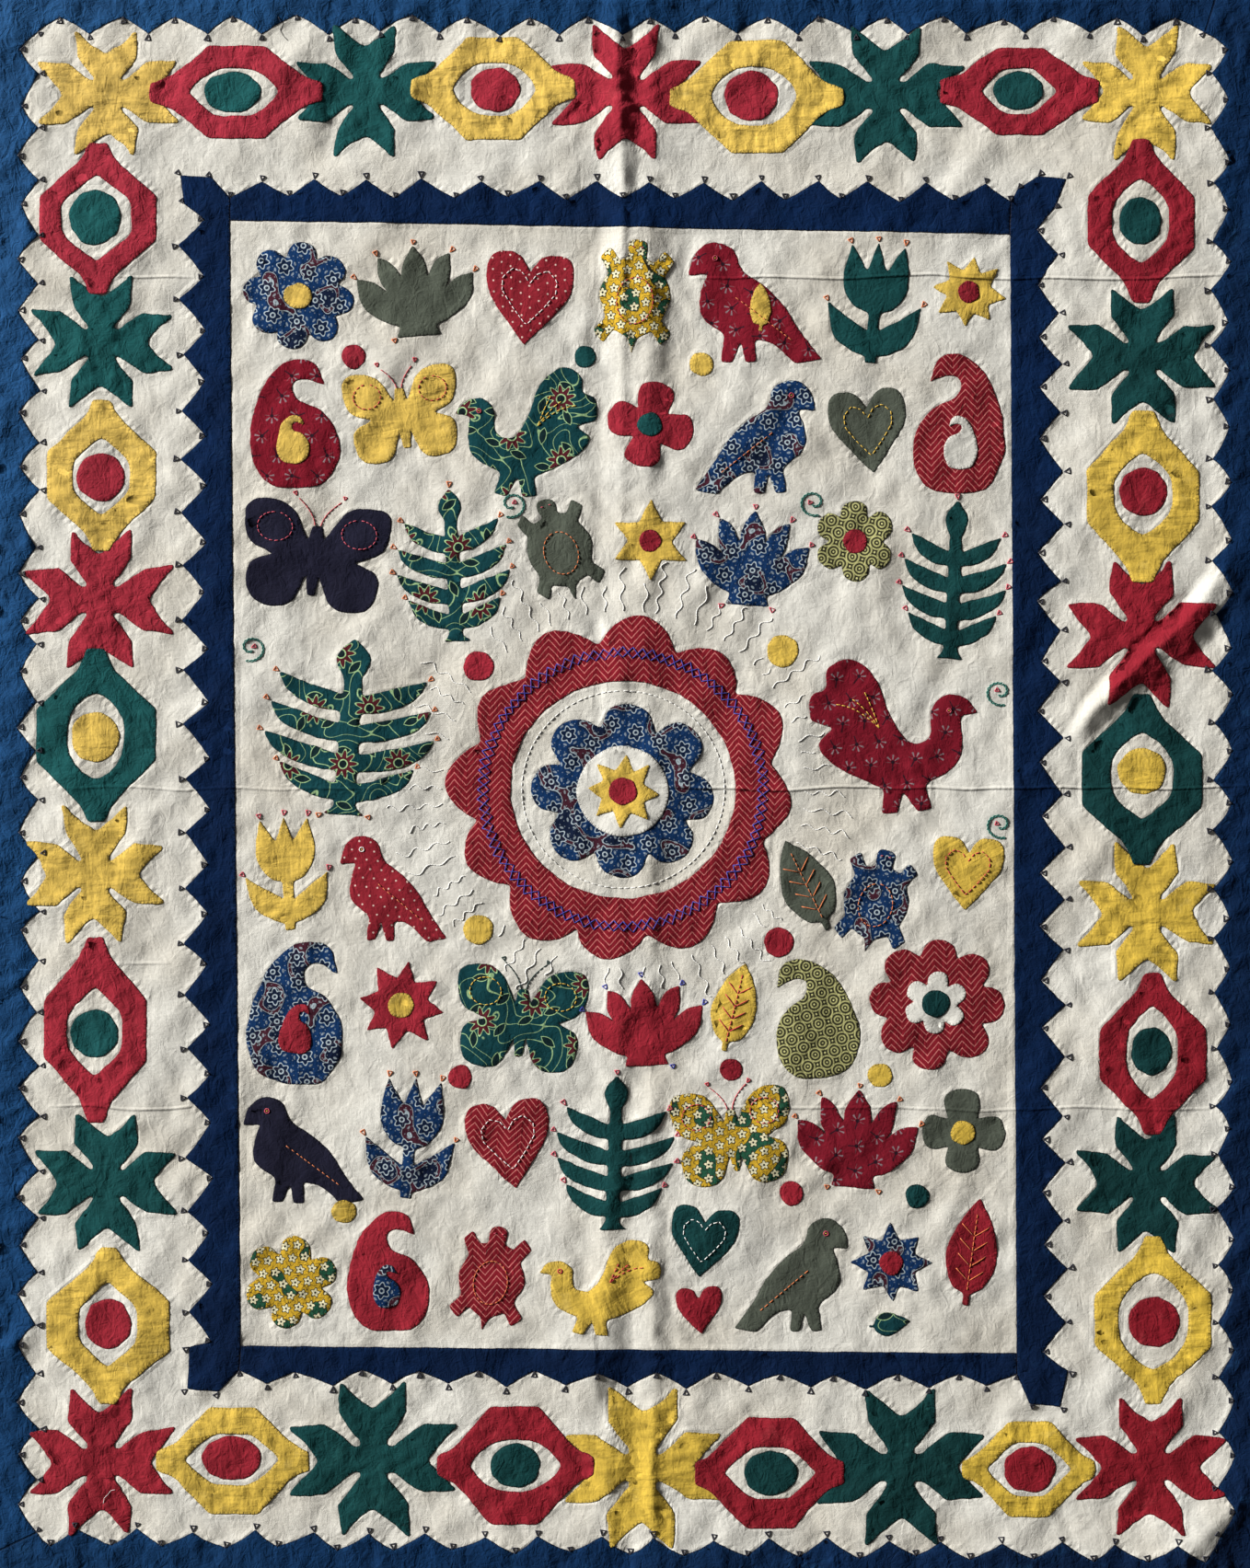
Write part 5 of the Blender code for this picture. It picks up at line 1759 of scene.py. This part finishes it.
# kind, cloth, x, y, half width (below 0: facing the other way), half height,
# degrees turned, then pieces on it or openings in it, each with its own kind,
# cloth ("open" for an opening), offset and half sizes
FIELD_PIECES = [
    ("rosette8", "indigo", 324, 322, 60, 57, 6, [("disc", "yellow", 0, 0, 15, 14)]),
    ("lotus", "olive", 452, 316, 64, 50, -4, []),
    ("heart", "dots", 574, 326, 47, 50, 5, []),
    ("tortoise", "daisies", 690, 322, 47, 60, 4, []),
    ("parrot", "sprigs", 820, 330, 72, 66, 0, [("leaf", "yellow", 6, 4, 13, 26)]),
    ("tulip", "green", 950, 330, 52, 66, 4, []),
    ("star8", "yellow", 1052, 318, 42, 42, 8, [("disc", "red", 0, 0, 12, 12)]),
    ("paisley", "sprigs", 318, 462, 48, 66, -6, [("paisley", "yellow", 0, 16, 17, 25)]),
    ("butterfly", "yellow", 438, 452, 58, 48, -8, []),
    ("peacock", "leaves", 572, 470, 78, 70, 0, []),
    ("quatrefoil", "red", 706, 462, 47, 47, 12, [("disc", "green", 0, 0, 13, 13)]),
    ("parrot", "indigo", 820, 476, -66, 62, 0, []),
    ("heart", "olive", 944, 470, 41, 45, -6, []),
    ("paisley", "chevron", 1044, 462, -49, 72, 6, [("paisley", "white_patch", 0, 20, 18, 27)]),
    ("butterfly", "black", 342, 606, 74, 56, 6, []),
    ("tall_sprig", "leaves", 492, 614, 62, 84, -3, []),
    ("tortoise", "olive", 608, 596, 44, 56, -18, []),
    ("star6", "yellow", 706, 588, 47, 47, 0, [("disc", "red", 0, 0, 12, 12)]),
    ("lotus", "indigo", 816, 606, 62, 52, 5, []),
    ("rosette6", "scales", 929, 588, 44, 44, 0, [("disc", "red", 0, 0, 13, 13)]),
    ("tall_sprig", "green", 1036, 630, 60, 86, 3, []),
    ("lobes12", "chevron", 677, 858, 184, 180, 3, [
        ("disc", "open", 0, 0, 122, 118), ("rosette8", "indigo", 0, 2, 98, 96),
        ("disc", "white_patch", 0, 2, 50, 49), ("star8", "yellow", 0, 2, 42, 42), ("disc", "red", 0, 2, 15, 15)]),
    ("tall_sprig", "leaves", 380, 790, 94, 96, 4, []),
    ("peacock", "sprigs", 970, 800, -92, 84, 0, []),
    ("tulip", "yellow", 312, 948, 46, 62, -4, []),
    ("parrot", "dots", 428, 966, 58, 58, 0, []),
    ("leaf", "olive", 876, 962, 30, 54, -26, []),
    ("tortoise", "indigo", 952, 978, 44, 56, 12, []),
    ("heart", "yellow", 1050, 950, 38, 40, 4, []),
    ("paisley", "indigo", 322, 1100, 52, 74, 4, [("paisley", "red", 0, 18, 18, 26)]),
    ("star8", "red", 436, 1092, 50, 50, 10, [("disc", "yellow", 0, 0, 14, 14)]),
    ("butterfly", "leaves", 566, 1108, 66, 54, 5, []),
    ("lotus", "red", 700, 1110, 64, 48, -3, []),
    ("leaf", "yellow", 798, 1094, 26, 50, 14, []),
    ("paisley", "scales", 886, 1106, -46, 62, -8, []),
    ("rosette8", "chevron", 1016, 1090, 72, 70, 4, [("rosette6", "white_patch", 0, 0, 34, 33), ("disc", "green", 0, 0, 15, 15)]),
    ("parrot", "black", 330, 1250, 66, 58, 0, []),
    ("tulip", "indigo", 446, 1236, 50, 66, 5, []),
    ("heart", "chevron", 554, 1244, 45, 47, -8, []),
    ("tall_sprig", "green", 668, 1252, 64, 84, 2, []),
    ("butterfly", "daisies", 796, 1236, 60, 50, -6, []),
    ("lotus", "sprigs", 930, 1236, 66, 54, 4, []),
    ("quatrefoil", "olive", 1046, 1230, 46, 46, 0, [("disc", "yellow", 0, 0, 13, 13)]),
    ("rosette6", "daisies", 316, 1394, 50, 50, 8, []),
    ("paisley", "red", 420, 1382, 44, 62, -5, [("paisley", "indigo", 0, 15, 15, 22)]),
    ("tortoise", "chevron", 534, 1388, 44, 56, 10, []),
    ("peacock", "yellow", 652, 1398, 66, 52, 0, []),
    ("heart", "green", 764, 1350, 36, 38, 6, []),
    ("parrot", "olive", 860, 1386, -62, 62, 0, []),
    ("star8", "indigo", 968, 1372, 46, 46, 0, [("disc", "red", 0, 0, 13, 13)]),
    ("leaf", "red", 1056, 1360, 30, 58, 8, []),
    ("heart", "red", 760, 1424, 25, 25, -4, []),
    ("leaf", "leaves", 966, 1438, 13, 22, 82, []),
    ("disc", "red", 520, 724, 16, 16, 0, []),
    ("disc", "yellow", 850, 708, 17, 17, 0, []),
    ("disc", "yellow", 520, 1010, 16, 16, 0, []),
    ("disc", "red", 846, 1024, 16, 16, 0, []),
    ("disc", "red", 384, 388, 13, 13, 0, []),
    ("disc", "yellow", 762, 396, 13, 13, 0, []),
    ("disc", "green", 636, 388, 12, 12, 0, []),
    ("disc", "red", 500, 1170, 13, 13, 0, []),
    ("disc", "yellow", 956, 1168, 13, 13, 0, []),
    ("disc", "red", 794, 1162, 12, 12, 0, []),
    ("disc", "yellow", 374, 1316, 13, 13, 0, []),
    ("disc", "red", 860, 1296, 13, 13, 0, []),
    ("disc", "green", 996, 1300, 13, 13, 0, []),
]
THREAD_OF = {
    "yellow": "t_yellow", "daisies": "t_yellow", "red": "t_red", "dots": "t_red", "chevron": "t_red", "sprigs": "t_red",
    "green": "t_deepgreen", "leaves": "t_deepgreen", "indigo": "t_navy", "black": "t_dark", "olive": "t_dark",
    "scales": "t_dark", "stripes": "t_grey", "white_patch": "t_grey",
}


LAST = []  # the nodes of the outline made last
TIPS = []  # x, y, direction x, y and thread
TIP_THREAD = {
    ("tall_sprig", "green"): "t_pink", ("tall_sprig", "leaves"): "t_orange", ("lotus", "red"): "t_blue",
    ("lotus", "indigo"): "t_pink", ("lotus", "sprigs"): "t_orange", ("tulip", "yellow"): "t_pink",
    ("tulip", "green"): "t_orange", ("lotus", "olive"): "t_orange", ("tulip", "indigo"): "t_orange",
}


def note_tips(thread):
    """The sharp outward corners of the outline made last."""
    nodes = LAST[:]
    area = sum(a[0] * b[1] - b[0] * a[1] for a, b in zip(nodes, nodes[1:] + nodes[:1]))
    for k, (x, y, r) in enumerate(nodes):
        if r == SOFT:
            continue
        (ax, ay, _), (bx, by, _) = nodes[k - 1], nodes[(k + 1) % len(nodes)]
        ux, uy, wx, wy = ax - x, ay - y, bx - x, by - y
        lu, lw = math.hypot(ux, uy), math.hypot(wx, wy)
        bend = (-ux * wy + uy * wx) * (1 if area > 0 else -1)
        if bend < 0 or (ux * wx + uy * wy) / (lu * lw) < 0.1:
            continue
        dx, dy = -(ux / lu + wx / lw), -(uy / lu + wy / lw)
        if lu > 12 and lw > 12:
            TIPS.append((x, y, dx, dy, thread))


def outline_of(kind, x, y, hw, hh, turn, look):
    c, s = math.cos(math.radians(turn)), math.sin(math.radians(turn))
    size = min(abs(hw), hh)
    nodes = []
    for u, v, r in SHAPES[kind](look):
        u, v = u * hw + look.uniform(-0.8, 0.8), v * hh + look.uniform(-0.8, 0.8)
        nodes.append((x + u * c - v * s, y + u * s + v * c, r if r == SOFT else max(1.0, r * size)))
    LAST[:] = nodes
    return mm_of(traced_by_nodes(nodes, 3.4))


def field_pieces():
    look = random.Random(501)
    count = 0
    for row, (kind, cloth, x, y, hw, hh, turn, extra) in enumerate(FIELD_PIECES):
        if not hw:
            continue
        loops = [outline_of(kind, x, y, hw, hh, turn, look)]
        if (kind, cloth) in TIP_THREAD:
            note_tips(TIP_THREAD[kind, cloth])
        for part in extra:
            if part[1] == "open":
                loops.append(outline_of(part[0], x + part[2], y + part[3], part[4], part[5], turn, look))
        count += 1
        gold = cloth in ("yellow", "daisies")
        spin = look.uniform(-0.5, 0.5) + (math.pi / 2 if look.random() < 0.3 else 0)
        if cloth == "chevron":
            spin = look.uniform(-0.12, 0.12)
        patch(
            f"field_{count:02d}_{kind}", MATERIALS[cloth], loops, 4000 + row, thread=THREAD_OF[cloth],
            ridge=("y0" if count % 2 else "y1") if gold else ("p0" if count % 2 else "p1"),
            ridge_h=0.26 if gold else 0.16, gather=0.32 if gold else 0.24, turn=spin,
            print_at=(look.uniform(0, 60), look.uniform(0, 60)), gap=4.4,
        )
        for n, part in enumerate(extra):
            if part[1] == "open":
                continue
            way = -1 if hw < 0 else 1
            loop = outline_of(part[0], x + part[2] * way, y + part[3], part[4] * way, part[5], turn, look)
            count += 1
            patch(
                f"field_{count:02d}_{part[0]}", MATERIALS[part[1]], [loop], 5000 + row * 10 + n,
                thread=THREAD_OF[part[1]], ridge="p1", ridge_h=0.07, turn=look.uniform(-3, 3),
                print_at=(look.uniform(0, 60), look.uniform(0, 60)),
            )


field_pieces()

# ------------------------------------------------------------- embroidery
SEWN = {}  # thread -> stitches of four points each


def over(thread, a, b, rise=0.40, ends=-0.10):
    """One stitch from a to b, in mm, going down into the cloth at its ends."""
    a, b = np.array(a, float), np.array(b, float)
    line = [a + (b - a) * t for t in (0.0, 0.24, 0.76, 1.0)]
    z = base_at([p[0] for p in line], [p[1] for p in line])
    SEWN.setdefault(thread, []).append(
        [(p[0], p[1], zz + h) for p, zz, h in zip(line, z, (ends, rise, rise, ends))]
    )


def covered(points, mm=False):
    a = np.asarray(points, float) if mm else mm_of(points)
    return sample(LIFT, a[:, 0], a[:, 1])


def running(thread, points, stitch=3.6, space=1.5, rise=0.36, seed=0):
    """Running stitches along a line of many points in layout units."""
    rng = np.random.default_rng(seed)
    a = mm_of(points)
    s = np.concatenate([[0], np.cumsum(np.linalg.norm(np.diff(a, axis=0), axis=1))])
    at = rng.uniform(0, 1)
    while at + stitch < s[-1]:
        far = at + stitch * rng.uniform(0.8, 1.2)
        p, q = ([np.interp(t, s, a[:, 0]), np.interp(t, s, a[:, 1])] for t in (at, min(far, s[-1])))
        over(thread, p, q, rise)
        at = far + space * rng.uniform(0.6, 1.4)


def cord(thread, points, step=2.0):
    """A thread laid on the cloth along a line of many points."""
    a = mm_of(points)
    s = np.concatenate([[0], np.cumsum(np.linalg.norm(np.diff(a, axis=0), axis=1))])
    at = np.linspace(0, s[-1], max(2, int(s[-1] / step)) + 1)
    p = np.column_stack((np.interp(at, s, a[:, 0]), np.interp(at, s, a[:, 1])))
    for k, (q, r) in enumerate(zip(p, p[1:])):
        over(thread, q, r, 0.26, 0.16)


def chain(thread, points, link=3.4, wide=0.85, seed=0):
    """Chain stitches along a line of many points in layout units."""
    a = mm_of(points)
    s = np.concatenate([[0], np.cumsum(np.linalg.norm(np.diff(a, axis=0), axis=1))])
    for at in np.arange(0, s[-1] - link, link * 0.86):
        p, m, q = (np.array([np.interp(t, s, a[:, 0]), np.interp(t, s, a[:, 1])]) for t in (at, at + link * 0.6, at + link))
        d = (q - p) / max(np.linalg.norm(q - p), 1e-6)
        n = np.array([-d[1], d[0]]) * wide
        for side in (n, -n):
            over(thread, p, m + side, 0.34, 0.06)
            over(thread, m + side, q, 0.34, 0.06)


def small_knot(thread, x, y, dx, dy, rng, size=1.0):
    """An open triangle of thread with its apex at the layout place."""
    p = np.array(place(x, y))
    d = np.array([dx, -dy], float)
    d /= max(np.linalg.norm(d), 1e-6)
    turn = rng.uniform(-0.3, 0.3)
    d = np.array([d[0] * math.cos(turn) - d[1] * math.sin(turn), d[0] * math.sin(turn) + d[1] * math.cos(turn)])
    n = np.array([-d[1], d[0]])
    far = 4.2 * size * rng.uniform(0.85, 1.15)
    a, b, e = p + d * 0.3, p + d * far + n * 1.9 * size, p + d * far - n * 1.9 * size
    for q, r in ((a, b), (b, e), (e, a)):
        over(thread, q, r, 0.42, 0.08)


def eye(thread, x, y, size=1.9):
    px, py = place(x, y)
    spots = [(px + size * math.cos(a), py + size * math.sin(a)) for a in (2 * math.pi * k / 6 for k in range(6))]
    for p, q in zip(spots, spots[1:] + spots[:1]):
        over(thread, p, q, 0.40, 0.12)
    over("t_yellow", (px - 0.7, py), (px + 0.7, py), 0.45)


def round_line(x, y, rx, ry, count=220, wave=0.0, waves=12, start=0.0, end=1.0):
    out = []
    for k in range(count + 1):
        a = 2 * math.pi * (start + (end - start) * k / count)
        r = 1 + wave * math.cos(waves * a)
        out.append((x + rx * r * math.sin(a), y - ry * r * math.cos(a)))
    return out


def embroidery():
    rng = np.random.default_rng(818)
    for x, y, dx, dy, thread in TIPS:
        small_knot(thread, x, y, dx, dy, rng)
    # the medallion: a blue zigzag with crossings on the ring
    cx, cy = 677, 858
    count = 92
    for shift in (0, 1):
        pts = []
        for k in range(count + 1):
            a = 2 * math.pi * k / count
            r = (146 if (k + shift) % 2 else 158) + rng.uniform(-1.2, 1.2)
            pts.append(place(cx + r * math.sin(a), cy - r * 0.978 * math.cos(a)))
        for p, q in zip(pts, pts[1:]):
            over("t_blue", p, q, 0.42, 0.05)
    # white threads that wander out from it
    for k in range(64):
        a = 2 * math.pi * (k + rng.uniform(-0.2, 0.2)) / 64
        line = []
        turn, waves = rng.uniform(0, 6), rng.uniform(2.2, 3.2)
        far = rng.uniform(236, 262)
        for i in range(40):
            t = i / 39
            r = 197 + (far - 197) * t
            b = a + 0.017 * math.sin(turn + waves * 2 * math.pi * t) * (0.5 + 0.5 * t)
            line.append((cx + r * math.sin(b), cy - r * 0.985 * math.cos(b)))
        high = covered(line) > 0.05
        if high.any():
            line = line[: int(np.argmax(high)) - 3] if np.argmax(high) > 9 else []
        if len(line) > 8:
            cord("t_white", line)
    running("t_white", round_line(cx, cy, 110, 107, 220), 3.4, 1.4, seed=70)
    # birds, tortoises and butterflies
    for kind, cloth, x, y, hw, hh, turn, _ in FIELD_PIECES:
        c, s = math.cos(math.radians(turn)), math.sin(math.radians(turn))

        def spot(u, v):
            return x + u * hw * c - v * hh * s, y + u * hw * s + v * hh * c

        light = cloth in ("yellow", "daisies")
        if kind == "parrot":
            eye("t_pink" if cloth != "dots" else "t_white", *spot(-0.60, -0.74))
            running("t_orange" if not light else "t_red", [spot(-0.3 + 0.9 * t, -0.1 + 0.75 * t) for t in np.linspace(0, 1, 12)],
                    2.8, 1.6, seed=int(x))
        if kind == "peacock":
            eye("t_pink" if not light else "t_red", *spot(-0.66, -0.33), 1.7)
            for far in (0.22, 0.42, 0.62):
                running("t_yellow" if not light else "t_red",
                        [spot(0.16 + far * 0.9 * t, -0.1 - 0.62 * t + 0.5 * far * t * t) for t in np.linspace(0, 1, 12)],
                        3.0, 1.5, seed=int(x + 9 * far))
        if kind == "tortoise":
            for side in (-1, 1):
                px, py = place(*spot(0.10 * side, -0.86))
                over("t_pink", (px - 0.8, py), (px + 0.8, py + 0.2), 0.45)
            running("t_orange" if not light else "t_red", [spot(0.42 * math.sin(a), 0.10 - 0.42 * math.cos(a))
                    for a in np.linspace(0, 2 * math.pi, 40)], 2.6, 1.3, seed=int(y))
        if kind == "butterfly":
            thread = "t_red" if cloth != "leaves" else "t_deepgreen"
            for side in (-1, 1):
                feeler = [spot(side * (0.04 + 0.26 * t * t + 0.05 * t), -0.60 - 0.55 * t) for t in np.linspace(0, 1, 14)]
                running(thread, feeler, 3.2, 0.3, seed=int(x))
                small_knot(thread, *feeler[-1], side * 0.4, -1.0, rng, 0.8)
                wing = [spot(side * (0.62 + 0.26 * math.sin(a)), -0.52 - 0.28 * math.cos(a)) for a in np.linspace(0, 2 * math.pi, 30)]
                running("t_red" if light else "t_pink" if cloth == "black" else "t_yellow", wing, 2.6, 1.4, seed=int(y))
        if kind == "heart" and hh > 30:
            ring = [spot(u * 0.62, v * 0.62 - 0.03) for u, v in (
                (0.0, -0.50), (0.26, -0.86), (0.66, -1.0), (1.02, -0.66), (1.0, -0.2), (0.56, 0.36), (0.0, 0.96),
                (-0.56, 0.36), (-1.0, -0.2), (-1.02, -0.66), (-0.66, -1.0), (-0.26, -0.86), (0.0, -0.50))]
            running({"olive": "t_yellow", "yellow": "t_red", "green": "t_white"}.get(cloth, "t_white"), ring, 2.8, 1.5, seed=int(x))
        if kind == "leaf" and hh > 30:
            running("t_orange" if not light else "t_red", [spot(0.0, -0.72 + 1.5 * t) for t in np.linspace(0, 1, 16)], 3.0, 1.2, seed=int(x))
            for k in range(4):
                v = -0.46 + 0.28 * k
                for side in (-1, 1):
                    px, py = place(*spot(0.03 * side, v + 0.16))
                    qx, qy = place(*spot(0.50 * side, v - 0.04))
                    over("t_orange" if not light else "t_red", (px, py), (qx, qy), 0.36)
    # chain-stitched curls where the ground is free
    for x, y, way in ((273, 704, 1), (1086, 752, -1), (270, 892, 1), (1086, 896, -1), (556, 548, 1), (884, 546, -1)):
        line = []
        for k in range(48):
            t = k / 47
            a, r = 1.1 + 7.2 * t, 4.0 + 13.0 * t
            line.append((x + way * r * math.cos(a), y + 0.9 * r * math.sin(a)))
        if covered(line).max() < 0.05:
            chain("t_green", line)
            small_knot("t_pink", x, y, way, -0.3, rng, 0.9)
    # threads that were left loose
    for thread, nodes in (
        ("t_white", [(113, 1633), (114, 1627), (118, 1623), (121, 1619), (126, 1618)]),
        ("t_dark", [(303, 20), (306, 26), (305, 34), (308, 40), (313, 45)]),
    ):
        a = mm_of(nodes)
        for p, q in zip(a, a[1:]):
            over(thread + "_loose", p, q, 0.30, 0.27)


embroidery()


near = np.zeros((NY, NX))
edge_band = blur((LIFT > 0.35).astype(float), 2.6)
near = np.clip(0.8 * (0.25 - np.abs(edge_band - 0.30)) / 0.25, 0, 0.6)
white = ground(near)
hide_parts("ground_cloth")
for name, rows in STITCHES.items():
    ends = np.concatenate([r[0] for r in rows])
    level = np.concatenate([r[1] for r in rows])
    # not the ones that a later piece covers
    shown = sample(LIFT, ends[:, 1, 0], ends[:, 1, 1]) < level + 0.32
    tubes("stitches_" + name[2:], ends[shown], 0.15, MATERIALS[name])
for name, rows in SEWN.items():
    loose = name.endswith("_loose")
    tubes("embroidery_" + name[2:], rows, 0.17 if loose else 0.36, MATERIALS[name.replace("_loose", "")], sides=4)

for thing in ROOT:
    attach(thing, "root")

# ------------------------------------------------------------- floor, light, camera
mesh = bpy.data.meshes.new("floor")
mesh.from_pydata([(-5, -5, 0), (5, -5, 0), (5, 5, 0), (-5, 5, 0)], [], [(0, 1, 2, 3)])
floor = bpy.data.objects.new("floor", mesh)
bpy.context.scene.collection.objects.link(floor)
floor_net = Net("floor_paper")
tint = floor_net.noise(floor_net.position(), 3.0, 3.0)
floor_net.feed(
    floor_net.shader.inputs["Base Color"],
    floor_net.mix(tint, srgb(226, 222, 216), srgb(236, 233, 228)),
)
floor_net.shader.inputs["Roughness"].default_value = 0.9
mesh.materials.append(floor_net.mat)


def area_light(name, at, aim, size, power, colour):
    data = bpy.data.lights.new(name, "AREA")
    data.shape = "DISK"
    data.size = size
    data.energy = power
    data.color = colour
    thing = bpy.data.objects.new(name, data)
    thing.location = at
    thing.rotation_euler = (Vector(aim) - Vector(at)).to_track_quat("-Z", "Y").to_euler()
    bpy.context.scene.collection.objects.link(thing)
    return thing


sun = bpy.data.lights.new("key", "SUN")
sun.energy = 6.8
sun.angle = math.radians(9)
sun.color = (1.0, 0.985, 0.955)
key = bpy.data.objects.new("key", sun)
key.rotation_euler = Vector((2.6, -1.25, -1.17)).to_track_quat("-Z", "Y").to_euler()
bpy.context.scene.collection.objects.link(key)
area_light("window", (-2.9, 1.25, 1.5), (0, 0, 0), 1.2, 6.0, (1.0, 0.98, 0.95))
area_light("top", (-0.6, 0.5, 3.2), (0, 0, 0), 2.6, 3.0, (1.0, 0.98, 0.96))
world = bpy.data.worlds.new("studio")
world.use_nodes = True
world.node_tree.nodes["Background"].inputs[0].default_value = (1.0, 0.985, 0.97, 1.0)
world.node_tree.nodes["Background"].inputs[1].default_value = 0.055
bpy.context.scene.world = world
bpy.context.scene.view_settings.view_transform = "Standard"

camera_data = bpy.data.cameras.new("camera")
camera_data.sensor_fit = "VERTICAL"
camera_data.sensor_height = 36.0
camera_data.sensor_width = 36.0
camera_data.clip_end = 50.0
HIGH = 2.4
camera_data.lens = 36.0 * HIGH / 1.1928
camera = bpy.data.objects.new("camera", camera_data)
camera.location = (-0.0028, 0.0035, HIGH)
bpy.context.scene.collection.objects.link(camera)
bpy.context.scene.camera = camera
